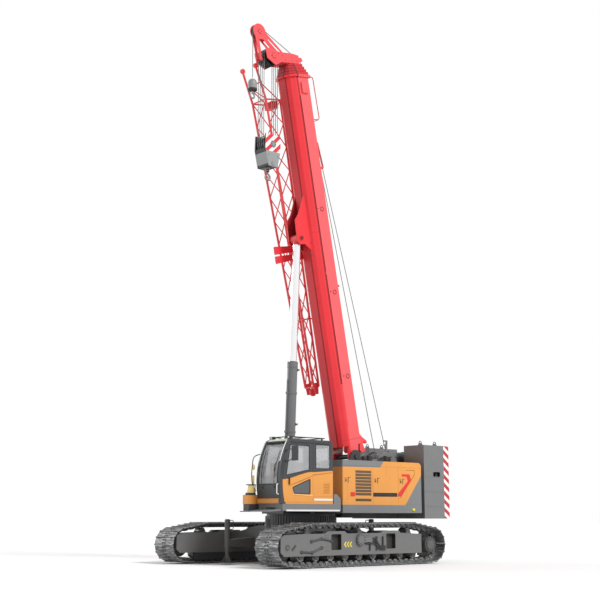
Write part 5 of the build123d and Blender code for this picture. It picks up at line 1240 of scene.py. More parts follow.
def ball_fittings():
    """Overhaul ball with its rim and swivel."""
    low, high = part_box("aux_ball")
    ball = Form()
    height = high.z - low.z
    ball.turned(
        [
            (0, 0.085), (0.132, 0.085), (0.136, 0.1), (0.136, height * 0.55), (0.128, height * 0.74),
            (0.105, height * 0.87), (0.07, height * 0.95), (0.03, height * 0.985), (0, height * 0.99),
        ],
        (ball_x, 0, low.z), (0, 0, 1), 40,
    )
    ball.make("ball_body", "hook", "aux_block", "hook_grey", ["aux_ball"])
    ball = Form()
    ball.turned(
        [(0, 0), (0.06, 0.0), (0.11, 0.012), (0.138, 0.04), (0.14, 0.084), (0.13, 0.09), (0, 0.09)],
        (ball_x, 0, low.z + 0.002), (0, 0, 1), 40,
    )
    ball.make("ball_rim", "rubber", "aux_block", "hook_grey")
    swivel = Form()
    hook_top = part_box("aux_hook")[1].z
    middle = (low.z + hook_top) / 2
    swivel.turned(
        [(0, 0), (0.03, 0), (0.045, 0.012), (0.045, 0.04), (0.03, 0.052), (0, 0.052)],
        (ball_x, 0, low.z - 0.05), (0, 0, 1), 24,
    )
    neck = max(0.01, low.z - hook_top)
    swivel.turned(
        [(0, 0), (0.02, 0), (0.02, neck), (0, neck)],
        (ball_x, 0, min(hook_top, middle)), (0, 0, 1), 20,
    )
    swivel.turned(
        [(0, 0), (0.035, 0), (0.03, 0.05), (0.016, 0.09), (0, 0.09)], (ball_x, 0, high.z - 0.05), (0, 0, 1),
        20,
    )
    swivel.make("ball_swivel", "steel", "aux_block", "hook_grey")


class CRANE_OT_hooks(bpy.types.Operator):
    """Makes the forged hooks with their latches, and the fittings of the block and the ball"""

    bl_idname = "crane.hooks"
    bl_label = "Hooks"

    def execute(self, context):
        hook_forgings()
        block_fittings()
        ball_fittings()
        return {"FINISHED"}


def boom_shell():
    """Ports and weld beads of the base section."""
    ports = Form()
    for x, z in ((-0.524, 10.226), (-1.032, 7.789), (-1.548, 5.34)):
        for hand in (1, -1):
            centre = Vector((x, hand * 0.3495, z))
            ports.turned(
                [(0.05, 0), (0.05, 0.004), (0.062, 0.008), (0.074, 0.004), (0.074, 0)], centre, (0, hand, 0),
                28, loop=True,
            )
            ports.disc(centre + boom_axis * 0.02 + boom_up * -0.16, (0, hand, 0), 0.02, 0.006, 12)
    for hand in (1, -1):
        pin = on_boom(6.509, -0.681, hand * 0.2135)
        ports.disc(pin, (0, hand, 0), 0.06, 0.012, 24)
    ports.make("boom_ports", "joint_red", "boom_1", "boom_red")

    beads = Form()
    for hand in (1, -1):
        beads.pipe([on_boom(0.5, 0.375, hand * 0.3505), on_boom(0.5, -0.02, hand * 0.3505)], 0.0035, 6)
        for along in (0.5, 6.65):
            line = [
                on_boom(along, -0.06, hand * 0.3505), on_boom(along, -0.15, hand * 0.3505),
                on_boom(along, -0.29, hand * 0.2705),
            ]
            beads.pipe(line, 0.0035, 6)
    beads.make("boom_welds", "joint_red", "boom_1", "boom_red")


def boom_guards():
    """Rope guards and guide rollers on the boom's back."""
    guard = Form()
    for y in (0.17, -0.17):
        top = [
            on_boom(11.42, 0.375, y), on_boom(11.42, 0.76, y), on_boom(10.1, 0.79, y),
            on_boom(10.1, 0.375, y),
        ]
        guard.pipe(rounded(top, 0.08), 0.014, 10)
        arm = [
            on_boom(8.6, 0.62, y * 0.78), on_boom(8.62, 0.7, y * 0.78), on_boom(9.42, 0.6, y * 0.78),
            on_boom(9.46, 0.37, y * 0.78),
        ]
        guard.pipe(rounded(arm, 0.05), 0.018, 10)
    for along, up in ((11.42, 0.72), (10.1, 0.75)):
        guard.pipe([on_boom(along, up, -0.17), on_boom(along, up, 0.17)], 0.012, 10)
    guard.make("rope_guards", "red", "boom_1", "boom_red")

    rollers = Form()
    for along in (5.03, 8.63):
        for y in (0.06, -0.06):
            rollers.turned(
                [
                    (0.012, -0.045), (0.03, -0.045), (0.022, -0.02), (0.022, 0.02), (0.03, 0.045),
                    (0.012, 0.045),
                ],
                on_boom(along, 0.56, y), (0, 1, 0), 20, loop=True,
            )
        rollers.pipe([on_boom(along, 0.56, -0.128), on_boom(along, 0.56, 0.128)], 0.0122, 10)
    rollers.make("guide_rollers", "dark_steel", "boom_1", "sheave_black")


def boom_bolts():
    """Bolts of the collar, the pads and the foot, and the plate on the foot."""
    collar_bolts = []
    collar = 11.364
    for hand in (1, -1):
        for up in (0.3, 0.15, 0.05, -0.08):
            collar_bolts.append((on_boom(collar, up, hand * 0.3975), (0, hand, 0)))
    for y in (-0.24, -0.12, 0.12, 0.24):
        collar_bolts.append((on_boom(collar, 0.4275, y), boom_up))
    for along in (4.6, 5.0, 6.0, 6.35):
        for y in (1, -1):
            collar_bolts.append((on_boom(along, -0.35, y * 0.201), (0, y, 0)))
    for y in (1, -1):
        collar_bolts += ring_of(on_boom(0, 0, y * 0.3945), (0, y, 0), 0.115, 8)
    studs("collar_bolts", collar_bolts, 0.013, 0.012, "dark_steel", "boom_1")

    label = Form()
    label.side_plate([(-1.53, 3.178), (-1.9, 3.256), (-1.915, 3.16), (-1.56, 3.088)], -0.2885, 0.005, 0.001)
    label.make("foot_label", "white", "boom_1", "boom_red")


def jib_arms():
    """Braces of the stowed jib and the two arms that hold it."""
    jib = Form()
    for y in (-1.1, -0.55):
        jib.pipe([on_boom(10.85, -0.09, y), on_boom(11.36, -0.745, y)], 0.017, 10)
    jib.pipe([on_boom(11.36, -0.75, -1.1), on_boom(11.36, -0.75, -0.55)], 0.02, 10)
    jib.pipe([on_boom(11.36, -0.75, -1.1), on_boom(10.9, -0.65, -0.55)], 0.015, 10)
    jib.pipe([on_boom(10.85, -0.09, -1.1), on_boom(10.85, -0.64, -0.55)], 0.015, 10)
    jib.make("jib_braces", "red", "boom_1", "boom_red")
    arms = Form()
    for low, wide_low, wide_high, high in ((6.005, 5.87, 6.09, 6.153), (6.227, 6.14, 6.375, 6.375)):
        arms.boom_plate(
            [(low, -0.1), (high, -0.1), (wide_high, -1.19), (wide_low, -1.19)], -0.475, 0.055, 0.006,
        )
        arms.pipe([on_boom(wide_low + 0.1, -1.12, -0.56), on_boom(wide_low + 0.1, -1.12, -0.41)], 0.03, 12)
        arms.boom_plate(
            [(wide_low, -1.195), (wide_high, -1.195), (wide_high, -1.17), (wide_low, -1.17)], -0.5, 0.1,
            0.003,
        )
    arms.boom_plate([(5.95, -0.28), (6.43, -0.28), (6.43, -0.08), (5.95, -0.08)], -0.42, 0.0705, 0.006)
    arms.make("jib_arms", "arm_red", "boom_1", "boom_red")


def foot_lugs():
    """Lugs behind the boom's foot."""
    lugs = Form()
    for hand in (1, -1):
        lugs.boom_plate(
            [(0.34, 0.35), (0.64, 0.35), (0.58, 0.41), (0.5, 0.47), (0.4, 0.6), (0.31, 0.6), (0.31, 0.45)],
            hand * 0.27, hand * 0.078,
        )
        lugs.boom_plate(
            [(0.15, 0.3), (0.36, 0.35), (0.32, 0.46), (0.08, 0.53), (0.06, 0.36)], hand * 0.28, hand * 0.066,
        )
        lugs.disc(on_boom(0.345, 0.56, hand * 0.345), (0, hand, 0), 0.05, 0.04, 20)
    lugs.make("foot_lugs", "head_red", "boom_1", "boom_red")


def jib_crate():
    """Grid at the jib's base."""
    crate = Form()
    crate.plate(
        [
            on_boom(10.62, -0.3, -0.98), on_boom(10.62, -0.3, -0.62), on_boom(10.62, -0.1, -0.62),
            on_boom(10.62, -0.1, -0.98),
        ],
        boom_axis * 0.22, 0.012,
    )
    for share in range(5):
        crate.boom_plate(
            [
                (10.64 + 0.042 * share, -0.31), (10.655 + 0.042 * share, -0.31),
                (10.655 + 0.042 * share, -0.09), (10.64 + 0.042 * share, -0.09),
            ],
            -0.99, 0.38,
        )
    crate.make("jib_winch", "red", "boom_1", "boom_red")


class CRANE_OT_boom_fittings(bpy.types.Operator):
    """Adds ports, weld beads, guards, rollers, bolts and lugs to the boom and its jib"""

    bl_idname = "crane.boom_fittings"
    bl_label = "Boom fittings"

    def execute(self, context):
        boom_shell()
        boom_guards()
        boom_bolts()
        jib_arms()
        foot_lugs()
        jib_crate()
        return {"FINISHED"}


class CRANE_OT_luff_fittings(bpy.types.Operator):
    """Adds the gland's bolts, the valve block and the pipes of the luffing cylinder"""

    bl_idname = "crane.luff_fittings"
    bl_label = "Luffing cylinder fittings"

    def execute(self, context):
        base = Vector(joints["cylinder_tilt"]["pos_m"])
        axis = Vector(joints["cylinder_stroke"]["axis"])
        if axis.z < 0:
            axis = -axis
        front = Vector((0, 1, 0)).cross(axis).normalized()
        if front.x < 0:
            front = -front
        gland = base + axis * 4.0105
        studs(
            "gland_bolts", ring_of(gland, axis, 0.138, 16), 0.013, 0.014, "dark_steel", "cylinder_barrel",
        )
        fit = Form()
        fit.turned(
            [(0.116, 0), (0.13, 0), (0.126, 0.02), (0.119, 0.024), (0.116, 0.024)], gland - axis * 0.001,
            axis, 40, loop=True,
        )
        fit.make("rod_wiper", "rubber", "cylinder_barrel", "dark_grey")
        valve = Form()
        side = Vector((0, 1, 0))
        corner = base + axis * 0.42 + front * 0.14 - side * 0.1
        valve.plate(
            [corner, corner + side * 0.2, corner + side * 0.2 + axis * 0.26, corner + axis * 0.26],
            front * 0.075, 0.01,
        )
        for place in (0.06, 0.13, 0.2):
            valve.turned(
                [(0, 0), (0.022, 0), (0.022, 0.03), (0.012, 0.05), (0, 0.05)],
                corner + side * 0.199 + axis * place + front * 0.04, side, 12,
            )
        away = (side * 0.67 - front * 0.74).normalized()
        for along in (2.25, 3.8):
            valve.turned(
                [
                    (0.045, 0), (0.045, 0.03), (0.02, 0.035), (0.02, 0.06), (0.032, 0.062), (0.032, 0.08),
                    (0, 0.08),
                ],
                base + axis * along + away * 0.125, away, 16,
            )
        valve.make("luff_pipes", "trim", "cylinder_barrel", "dark_grey")
        return {"FINISHED"}


def nose(z, off=0.0):
    """How far forward the cab's curved front stands at a height."""
    (x0, z0), (x1, z1), (x2, z2) = (2.02, 1.61), (2.11, 2.25), (1.79, 3.27)
    a = x0 * (z1 - z2) - z0 * (x1 - x2) + x1 * z2 - x2 * z1
    b = (x0 ** 2 + z0 ** 2) * (z2 - z1) + (x1 ** 2 + z1 ** 2) * (z0 - z2) + (x2 ** 2 + z2 ** 2) * (z1 - z0)
    c = (x0 ** 2 + z0 ** 2) * (x1 - x2) + (x1 ** 2 + z1 ** 2) * (x2 - x0) + (x2 ** 2 + z2 ** 2) * (x0 - x1)
    centre_x, centre_z = -b / (2 * a), -c / (2 * a)
    radius = hypot(x0 - centre_x, z0 - centre_z) + off
    return centre_x + sqrt(radius ** 2 - (z - centre_z) ** 2)


def at_side(points, y):
    """Points given as (x, z), on a wall at one y."""
    return [(x, y, z) for x, z in points]


def cab_seals():
    """Seals round the panes of the cab and of its door."""
    door_pane = [(1.74, 3.15), (1.055, 3.15), (1.055, 2.51), (1.88, 2.35)]
    low_pane = [(1.66, 2.035), (1.03, 2.265), (1.03, 1.87), (1.6, 1.88)]
    rear_pane = [(0.82, 3.19), (0.3, 3.19), (0.3, 2.55), (0.82, 2.55)]
    right_pane = [(1.7, 3.15), (0.42, 3.15), (0.42, 2.35), (1.85, 2.35)]
    seals = Form()
    for pane in (door_pane, low_pane):
        seals.pipe(rounded(at_side(pane, 1.499), 0.03, 4, True), 0.011, 8, True)
    seals.make("door_seals", "rubber", "door_of_cab", "trim_black")
    seals = Form()
    for pane, y in ((rear_pane, 1.499), (right_pane, 0.561)):
        seals.pipe(rounded(at_side(pane, y), 0.03, 4, True), 0.011, 8, True)
    rear = [(0.189, 0.71, 2.57), (0.189, 1.35, 2.57), (0.189, 1.35, 3.13), (0.189, 0.71, 3.13)]
    seals.pipe(rounded(rear, 0.04, 4, True), 0.011, 8, True)
    heights = [2.12 + (3.18 - 2.12) * step / 14 for step in range(15)]
    screen = [(nose(z, -0.002), 1.4, z) for z in heights]
    screen += [(nose(z, -0.002), 0.65, z) for z in reversed(heights)]
    seals.pipe(rounded(screen, 0.03, 3, True), 0.013, 8, True)
    seals.make("window_seals", "rubber", "superstructure", "trim_black")


def cab_trim():
    """Pale strips and pressed mouldings of the cab and its door."""
    strips = Form()
    strips.box((0.21, 1.4995, 1.7), (0.889, 1.508, 1.75), 0.003)
    strips.box((-0.066, 1.4995, 1.42), (1.88, 1.508, 1.462), 0.003)
    strips.make("pale_trim", "white", "superstructure", "weight_grey")

    swage = Form()
    swage.pipe([(x, 1.5, z) for x, z in ((0.9, 2.385), (0.55, 2.432), (0.22, 2.47))], 0.008, 8)
    swage.pipe([(x, 1.5, z) for x, z in ((0.9, 1.82), (0.22, 1.829))], 0.008, 8)
    frame_line = [(0.32, 1.5, 1.9), (0.545, 1.5, 1.9), (0.545, 1.5, 2.18), (0.32, 1.5, 2.18)]
    swage.pipe(rounded(frame_line, 0.015, 3, True), 0.005, 6, True)
    swage.make("cab_mouldings", "cab", "superstructure", "cab_orange")
    swage = Form()
    swage.pipe(
        rounded(
            at_side([(0.95, 2.37), (1.386, 2.216), (1.777, 2.104), (1.624, 1.847), (0.95, 1.82)], 1.5), 0.05,
        ),
        0.008, 8,
    )
    swage.make("door_mouldings", "cab_door", "door_of_cab", "cab_orange")


def cab_front():
    """Wipers, rails and marker in front of the windscreen."""
    wipers = Form()
    for y, tilt in ((1.28, 0.1), (0.78, 0.02)):
        blade = [(nose(z, 0.022), y + tilt * (z - 2.2), z) for z in [2.3 + 0.1 * step for step in range(8)]]
        wipers.pipe(blade, 0.011, 6)
        arm = [
            (nose(2.03, 0.02), y + 0.03, 2.03), (nose(2.08, 0.045), y + 0.03, 2.08),
            (nose(2.6, 0.05), y + 0.02, 2.6), blade[4],
        ]
        wipers.pipe(rounded(arm, 0.04), 0.009, 8)
        wipers.disc((nose(2.03) - 0.01, y + 0.03, 2.03), (1, 0, 0), 0.03, 0.035, 16)
    rail = [
        (nose(2.95) - 0.05, 0.6, 2.95), (2.2, 0.53, 2.86), (2.24, 0.51, 2.4), (2.2, 0.49, 2.1),
        (nose(2.0), 0.53, 1.95),
    ]
    wipers.pipe(rounded(rail, 0.12), 0.013, 8)
    wipers.box((1.8, 0.64, 3.214), (1.872, 1.42, 3.238), 0.006)
    wipers.make("wipers", "trim", "superstructure", "trim_black")

    pale = Form()
    heights = [2.72 + 0.09 * step for step in range(7)]
    pale.pipe([(nose(z, 0.03), 1.455, z) for z in heights], 0.012, 8)
    pale.pipe([(nose(z, 0.03), 0.6, z) for z in heights], 0.012, 8)
    pale.pipe(
        rounded([(2.03, 1.43, 1.86), (2.15, 1.43, 1.86), (2.15, 1.43, 2.12), (2.08, 1.43, 2.12)], 0.04),
        0.014, 8,
    )
    for y in (0.74, 1.3):
        pale.box((1.33, y - 0.05, 3.312), (1.43, y + 0.05, 3.38), 0.012)
    pale.make("pale_rails", "white", "superstructure", "weight_grey")
    yellow = Form()
    yellow.turned(
        [(0, 0), (0.07, 0.003), (0.08, 0.012), (0.07, 0.03), (0, 0.032)], (2.15, 0.455, 2.58),
        (-0.4, 0.9, 0.1), 28,
    )
    yellow.box((2.14, 0.45, 2.12), (2.17, 0.51, 2.36), 0.01)
    yellow.plate(
        [(2.13, 0.43, 1.9), (2.33, 0.43, 1.9), (2.28, 0.43, 2.1), (2.15, 0.43, 2.1)], (0, 0.09, 0), 0.012,
    )
    yellow.make("corner_marker", "pale_yellow", "superstructure", "weight_grey")


def cab_roof():
    """Roof pane and lamps."""
    brow = Form()
    brow.plate(
        [(1.815, 0.68, 3.2485), (1.815, 1.38, 3.2485), (1.722, 1.38, 3.306), (1.722, 0.68, 3.306)],
        (0.006, 0, 0.01), 0.002,
    )
    brow.box((1.2, 0.7, 3.311), (1.6, 1.36, 3.319), 0.003)
    brow.make("roof_pane", "roof_glass", "superstructure", "cab_glass")

    lamps, lenses = Form(), Form()
    for y in (0.68, 1.38):
        lamps.box((1.62, y - 0.07, 3.312), (1.7, y + 0.07, 3.395), 0.015)
        lenses.disc((1.699, y, 3.355), (1, 0, 0), 0.032, 0.008, 24)
    lamps.make("cab_lamps", "trim", "superstructure", "trim_black")
    lenses.make("cab_lenses", "clear_lens", "superstructure", "cab_glass")


def mirrors():
    """Left mirror on its arms, and the holder of the corner marker."""
    mirror = Form()
    mirror.box((1.951, 1.85, 2.71), (2.01, 2.05, 3.09), 0.025)
    mirror.pipe(rounded([(1.9, 1.49, 2.98), (1.93, 1.62, 3.03), (1.97, 1.86, 3.0)], 0.05), 0.014, 10)
    mirror.pipe(rounded([(1.9, 1.49, 2.72), (1.93, 1.62, 2.7), (1.97, 1.86, 2.78)], 0.05), 0.01, 8)
    for z in (2.98, 2.72):
        mirror.disc((1.9, 1.495, z), (0, 1, 0), 0.028, 0.03, 16)
    mirror.pipe([(2.22, 0.51, 2.56), (2.16, 0.46, 2.58)], 0.012, 8)
    mirror.box((2.1, 0.42, 2.1), (2.35, 0.53, 2.125), 0.004)
    mirror.box((2.1, 0.42, 1.84), (2.37, 0.53, 1.9), 0.004)
    mirror.pipe([(2.12, 0.52, 1.88), (2.12, 0.52, 2.11)], 0.012, 8)
    mirror.make("mirror_set", "trim", "superstructure", "trim_black", ["cab_mirrors"])
    glass = Form()
    glass.side_plate([(1.945, 2.735), (1.945, 3.065), (1.952, 3.065), (1.952, 2.735)], 1.87, 0.16)
    glass.make("mirror_glass", "mirror", "superstructure", "cab_glass")


def cab_steps():
    """Bracket behind the cab, and the bumper and step beside it."""
    bracket = Form()
    bracket.side_plate(
        [(0.146, 1.432), (0.146, 1.865), (0.032, 1.884), (-0.12, 1.76), (-0.12, 1.437)], 1.44, 0.045, 0.008,
    )
    bracket.make("cab_bracket", "skirt", "superstructure", "weight_grey")
    bumper = Form()
    outline = [(1.72, 0.528), (1.72, 0.24), (2.3, 0.24), (2.36, 0.3), (2.36, 0.528)]
    bumper.plate([(x, y, 1.61) for x, y in outline], (0, 0, 0.24), 0.03)
    bumper.make("right_bumper", "orange", "superstructure", "cab_orange")
    bumper = Form()
    bumper.plate([(x - 0.02, y, 1.432) for x, y in outline], (0, 0, 0.176), 0.008)
    bumper.box((2.3, 0.3, 1.405), (2.46, 0.62, 1.428), 0.004)
    for y in (0.3, 0.42):
        bumper.box((1.78, y, 1.848), (1.82, y + 0.03, 1.91), 0.004)
    bumper.pipe([(1.8, 0.28, 1.91), (1.8, 0.47, 1.91)], 0.014, 8)
    bumper.make("right_step", "deck", "superstructure", "dark_grey")


class CRANE_OT_cab_outside(bpy.types.Operator):
    """Adds seals, wipers, rails, lamps, mirrors and mouldings to the cab"""

    bl_idname = "crane.cab_outside"
    bl_label = "Cab, outside"

    def execute(self, context):
        cab_seals()
        cab_trim()
        cab_front()
        cab_roof()
        mirrors()
        cab_steps()
        return {"FINISHED"}


def cushion(name, low, high, swell, body, lean=0.0):
    """Padded block, blown up a little as cloth and then held."""
    form = Form()
    form.box(low, high, 0.03)
    mesh = bpy.data.meshes.new(name)
    form.work.to_mesh(mesh)
    form.work.free()
    piece = bpy.data.objects.new(name, mesh)
    bpy.context.scene.collection.objects.link(piece)
    remesh = piece.modifiers.new("even", "REMESH")
    remesh.mode = "VOXEL"
    remesh.voxel_size = 0.014
    piece.data = evaluated(piece)
    piece.modifiers.clear()
    start = [vert.co.copy() for vert in piece.data.vertices]
    cloth = piece.modifiers.new("cloth", "CLOTH")
    cloth.settings.use_pressure = True
    cloth.settings.uniform_pressure_force = 4.0
    cloth.settings.effector_weights.gravity = 0.0
    for number in range(1, 21):
        bpy.context.scene.frame_set(number)
    piece.data = evaluated(piece)
    piece.modifiers.clear()
    bpy.context.scene.frame_set(1)
    for vert, before in zip(piece.data.vertices, start):
        move = vert.co - before
        if move.length > swell:
            vert.co = before + move.normalized() * swell
        vert.co.x -= (vert.co.z - low[2]) * lean
    work = bmesh.new()
    work.from_mesh(piece.data)
    bmesh.ops.smooth_vert(
        work, verts=work.verts, factor=0.5, use_axis_x=True, use_axis_y=True, use_axis_z=True,
    )
    bmesh.ops.recalc_face_normals(work, faces=work.faces)
    work.to_mesh(piece.data)
    work.free()
    piece.data.materials.clear()
    piece.data.materials.append(kit["seat_cloth"])
    piece.data.shade_smooth()
    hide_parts("cab_seat")
    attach(piece, body)


def cushions():
    """Padded seat, back and head rest."""
    for name, half, (x0, z0), (x1, z1), swell, lean in (
        ("seat_pad", 0.225, (0.6, 2.0), (1.1, 2.1), 0.022, 0.0),
        ("seat_back", 0.215, (0.545, 2.13), (0.635, 2.68), 0.022, 0.16),
        ("head_rest", 0.12, (0.44, 2.72), (0.515, 2.87), 0.012, 0.1),
    ):
        cushion(name, (x0, seat_y - half, z0), (x1, seat_y + half, z1), swell, "superstructure", lean)


def seat_base(base):
    """Bellows under the seat, its frame and the shell of its back."""
    for step in range(5):
        z = 1.74 + 0.045 * step
        inset = 0.012 * (step % 2)
        base.box((0.66 + inset, seat_y - 0.19, z), (1.02 - inset, seat_y + 0.19, z + 0.042), 0.012)
    base.box((0.6, seat_y - 0.23, 1.97), (1.08, seat_y + 0.23, 1.995), 0.008)
    base.box((0.62, seat_y - 0.21, 1.662), (1.04, seat_y + 0.21, 1.74), 0.015)
    for y in (seat_y - 0.06, seat_y + 0.06):
        base.pipe([(0.47, y, 2.64), (0.455, y, 2.76)], 0.007, 8)
    base.side_plate([(0.5, 2.1), (0.54, 2.1), (0.455, 2.66), (0.42, 2.66)], seat_y - 0.2, 0.4, 0.01)


def consoles(base):
    """Consoles on both sides of the seat, each with a lever in its boot."""
    for hand in (1, -1):
        y = seat_y + hand * 0.29
        console = [
            (0.62, 1.67), (0.8, 1.67), (0.86, 2.12), (1.16, 2.2), (1.14, 2.29), (0.66, 2.27), (0.6, 2.2),
        ]
        base.side_plate(console, y - 0.06, 0.12, 0.018)
        base.pipe(rounded([(1.08, y, 2.26), (1.09, y, 2.34), (1.085, y, 2.4)], 0.03), 0.009, 10)
        base.turned(
            [(0, 0), (0.018, 0.004), (0.024, 0.03), (0.021, 0.09), (0.012, 0.105), (0, 0.107)],
            (1.083, y, 2.38), (-0.1, 0, 1), 16,
        )
        base.turned(
            [(0.036, 0), (0.026, 0.02), (0.03, 0.025), (0.018, 0.045), (0, 0.046)], (1.08, y, 2.262),
            (0, 0, 1), 20,
        )


def controls(base):
    """Screen on its arm, pedals and mat."""
    base.pipe(rounded([(1.86, 0.66, 1.68), (1.78, 0.68, 2.2), (1.62, 0.78, 2.38)], 0.1), 0.018, 10)
    base.plate(
        [(1.6, 0.68, 2.36), (1.63, 0.9, 2.36), (1.6, 0.9, 2.56), (1.57, 0.68, 2.56)], (0.035, 0, 0.01), 0.008,
    )
    for y in (0.93, 1.13):
        base.plate(
            [(1.62, y - 0.05, 1.72), (1.62, y + 0.05, 1.72), (1.78, y + 0.05, 1.86), (1.78, y - 0.05, 1.86)],
            (0.008, 0, -0.012), 0.003,
        )
        base.pipe([(1.7, y, 1.78), (1.78, y, 1.665)], 0.01, 8)
    base.box((0.3, 0.62, 1.6605), (1.85, 1.44, 1.668), 0.002)


def cab_lining():
    """Face of the screen, and the pale lining of the cab."""
    screen = Form()
    screen.plate(
        [(1.595, 0.695, 2.375), (1.6215, 0.885, 2.375), (1.5945, 0.885, 2.545), (1.568, 0.695, 2.545)],
        (-0.004, 0, 0),
    )
    screen.make("cab_screen", "screen", "superstructure", "cab_glass")
    lining = Form()
    lining.box((0.242, 0.612, 2.2), (0.3, 1.448, 2.53), 0.012)
    lining.box((0.242, 0.612, 1.66), (0.4, 1.448, 2.2), 0.012)
    lining.box((0.3, 0.62, 3.235), (1.62, 1.44, 3.258), 0.008)
    lining.box((1.2, 0.612, 1.67), (1.9, 0.66, 2.3), 0.012)
    lining.make("cab_lining", "lining", "superstructure", "seat_trim")


class CRANE_OT_cab_inside(bpy.types.Operator):
    """Fits the cab with its seat, consoles, levers, screen, pedals and mat"""

    bl_idname = "crane.cab_inside"
    bl_label = "Cab, inside"

    def execute(self, context):
        cushions()
        base = Form()
        seat_base(base)
        consoles(base)
        controls(base)
        base.make("cab_fittings", "trim", "superstructure", "seat_trim", ["cab_seat"])
        cab_lining()
        return {"FINISHED"}


def weight_fittings():
    """Lifting lugs and handles of the counterweight."""
    rims = Form()
    for hand in (1, -1):
        for x in (-4.47, -3.827):
            centre = Vector((x, hand * 1.1065, 3.402))
            rims.pipe(arc(centre + Vector((0, 0, 0.05)), 0.05, radians(-60), radians(240), 14), 0.011, 8)
        rims.pipe([(-4.2, hand * 1.3985, 2.51), (-3.97, hand * 1.3985, 2.51)], 0.018, 10)
    rims.make("lamp_rims", "rubber", "superstructure", "trim_black")


def hood_fittings():
    """Locks and stops of the hood's doors."""
    for number, body, front in ((1, "door_one", -0.205), (2, "door_two", -1.371), (3, "door_three", -2.412)):
        lock = Form()
        x = front - 0.09
        lock.disc((x, 1.5135, 2.315), (0, 1, 0), 0.014, 0.006, 16)
        lock.side_plate(
            [(x - 0.02, 2.235), (x + 0.02, 2.235), (x + 0.016, 2.285), (x - 0.016, 2.285)], 1.5135, 0.01,
            0.003,
        )
        lock.side_plate(
            [
                (x - 0.11, 2.2), (x - 0.085, 2.2), (x - 0.085, 2.35), (x - 0.18, 2.35), (x - 0.18, 2.335),
                (x - 0.11, 2.335),
            ],
            1.4995, 0.003,
        )
        lock.make(f"hood_lock_{number}", "trim", body, "trim_black")
    knuckles = Form()
    for x in (-1.371, -2.412, -3.37):
        for z in (1.8, 2.5):
            knuckles.box((x - 0.022, 1.4, z - 0.05), (x + 0.022, 1.4555, z + 0.05), 0.004)
    knuckles.make("hood_stops", "deck", "superstructure", "dark_grey")


def deck_fittings():
    """Treads of the step, access rails and filler caps."""
    treads = [
        ((2.05 + 0.042 * step_x, 0.66 + 0.05 * step_y, 1.4302), (0, 0, 1))
        for step_x in range(9) for step_y in range(16)
    ]
    studs("step_treads", treads, 0.012, 0.004, "steel", "superstructure", 4)

    rails = Form()
    for x in (-0.22, -0.62):
        rails.pipe(
            rounded(
                [(x, -1.499, 1.7), (x, -1.56, 1.72), (x, -1.56, 2.9), (x, -1.36, 3.02), (x, -1.36, 2.815)],
                0.06,
            ),
            0.016, 10,
        )
    for z in (1.86, 2.22, 2.58):
        rails.pipe([(-0.57, -1.47, z - 0.07), (-0.27, -1.47, z - 0.07)], 0.012, 10)
    rails.make("access_rails", "yellow", "superstructure", "weight_grey")
    caps = Form()
    for x in (-0.9, -1.9):
        caps.turned([(0.0795, 0), (0.07, 0.02), (0.03, 0.025), (0, 0.025)], (x, -1.24, 2.8645), (0, 0, 1), 28)
    caps.make("filler_caps", "trim", "superstructure", "trim_black")


def winch_fittings():
    """Pipes and bolts of the winches."""
    winch = Form()
    for z, y in ((3.02, 0.47), (2.97, 0.49), (2.92, 0.47)):
        line = [
            (-4.1, y, z - 0.16), (-3.95, y + 0.02, z), (-3.2, y + 0.02, z), (-2.72, y + 0.02, z - 0.02),
            (-2.5, y - 0.03, z - 0.3),
        ]
        winch.pipe(rounded(line, 0.12), 0.016, 8)
    for x in (-3.6, -2.95):
        winch.box((x - 0.03, 0.44, 2.88), (x + 0.03, 0.53, 3.05), 0.006)
    for x, z in ((-2.4, 3.02), (-2.18, 2.98)):
        winch.turned(
            [(0, 0), (0.09, 0), (0.09, 0.16), (0.06, 0.2), (0, 0.2)], (x, 0.36, z - 0.15), (0, 0, 1), 24,
        )
    winch.make("winch_pipes", "trim", "superstructure", "trim_black")
    bolts = []
    for centre in (main_drum_centre, aux_drum_centre):
        bolts += ring_of(centre + Vector((0, 0.5515, 0)), (0, 1, 0), 0.105, 10)
        bolts += both(centre, winch_face, 0.17, 12)
    for x in (-2.75, -3.6, -4.3):
        for hand in (1, -1):
            bolts.append(((x, hand * winch_face, 2.55), (0, hand, 0)))
    studs("winch_bolts", bolts, 0.014, 0.012, "steel", "superstructure")


class CRANE_OT_upper_fittings(bpy.types.Operator):
    """Adds lugs, locks, treads, rails and winch pipes to the deck, hood and counterweight"""

    bl_idname = "crane.upper_fittings"
    bl_label = "Deck, hood and weight fittings"

    def execute(self, context):
        weight_fittings()
        hood_fittings()
        deck_fittings()
        winch_fittings()
        return {"FINISHED"}


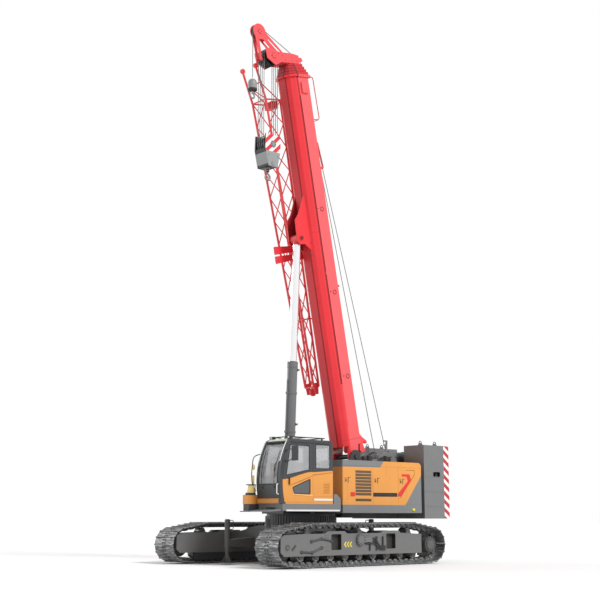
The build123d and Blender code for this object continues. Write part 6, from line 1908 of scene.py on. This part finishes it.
class CRANE_OT_studio(bpy.types.Operator):
    """Sets the floor, the lamps, the background and the camera"""

    bl_idname = "crane.studio"
    bl_label = "Studio"

    def execute(self, context):
        scene = context.scene
        settings = scene.crane_studio
        half = 120.0
        mesh = bpy.data.meshes.new("floor")
        mesh.from_pydata(
            [(-half, -half, 0), (half, -half, 0), (half, half, 0), (-half, half, 0)], [], [(0, 1, 2, 3)],
        )
        floor = bpy.data.objects.new("floor", mesh)
        scene.collection.objects.link(floor)
        finish = Finish("Studio floor")
        mesh.materials.append(finish.shade(Base_Color=tuple(settings.floor_colour), Roughness=0.75))

        camera = bpy.data.objects.new("camera", bpy.data.cameras.new("camera"))
        scene.collection.objects.link(camera)
        camera.location = settings.camera_place
        camera.rotation_euler = (pi / 2 + settings.camera_rise, 0, settings.camera_turn - pi / 2)
        camera.data.lens = settings.camera_lens
        camera.data.sensor_width = 36.0
        camera.data.clip_end = 400.0
        scene.camera = camera

        for name, energy, spread, direction in (
            ("key", 2.5, 18, (-0.12, 1.0, 0.8)),
            ("fill", 1.1, 30, (0.35, -1.0, 0.3)),
        ):
            light = bpy.data.objects.new(name, bpy.data.lights.new(name, "SUN"))
            scene.collection.objects.link(light)
            light.data.energy = energy
            light.data.angle = radians(spread)
            light.rotation_euler = Vector(direction).to_track_quat("Z", "Y").to_euler()

        world = bpy.data.worlds.new("studio")
        scene.world = world
        world.use_nodes = True
        world.node_tree.nodes.clear()
        graph = Graph(world.node_tree)
        path = graph.node("ShaderNodeLightPath").outputs
        seen = Value(graph, path["Is Camera Ray"]) | Value(graph, path["Is Glossy Ray"])
        seen = seen | Value(graph, path["Is Transmission Ray"])
        sky = graph.node("ShaderNodeBackground", {}, {"Color": (1.0, 1.0, 1.0), "Strength": seen * 0.5 + 0.5})
        graph.node("ShaderNodeOutputWorld", {}, {"Surface": sky.outputs[0]})
        scene.view_settings.view_transform = "Standard"
        return {"FINISHED"}


class CRANE_PT_panel(bpy.types.Panel):
    """Lists the crane's operators and settings."""

    bl_idname = "CRANE_PT_panel"
    bl_label = "Crane"
    bl_space_type = "VIEW_3D"
    bl_region_type = "UI"
    bl_category = "Crane"

    def draw(self, context):
        layout = self.layout
        for operator in operators:
            layout.operator(operator.bl_idname)
        for name in CraneStudioSettings.__annotations__:
            layout.prop(context.scene.crane_studio, name)


operators = (
    CRANE_OT_paint,
    CRANE_OT_studio,
    CRANE_OT_track_fittings,
    CRANE_OT_undercarriage_fittings,
    CRANE_OT_ropes,
    CRANE_OT_sheaves,
    CRANE_OT_hooks,
    CRANE_OT_boom_fittings,
    CRANE_OT_luff_fittings,
    CRANE_OT_cab_outside,
    CRANE_OT_cab_inside,
    CRANE_OT_upper_fittings,
)
classes = (CraneStudioSettings, *operators, CRANE_PT_panel)


def register():
    """Makes the operators and settings known."""
    for cls in classes:
        bpy.utils.register_class(cls)
    bpy.types.Scene.crane_studio = bpy.props.PointerProperty(type=CraneStudioSettings)


def unregister():
    """Takes them out again."""
    del bpy.types.Scene.crane_studio
    for cls in reversed(classes):
        bpy.utils.unregister_class(cls)


def main():
    """Runs every operator in order."""
    register()
    for operator in operators:
        group, name = operator.bl_idname.split(".")
        getattr(getattr(bpy.ops, group), name)()


if __name__ == "__main__":
    main()
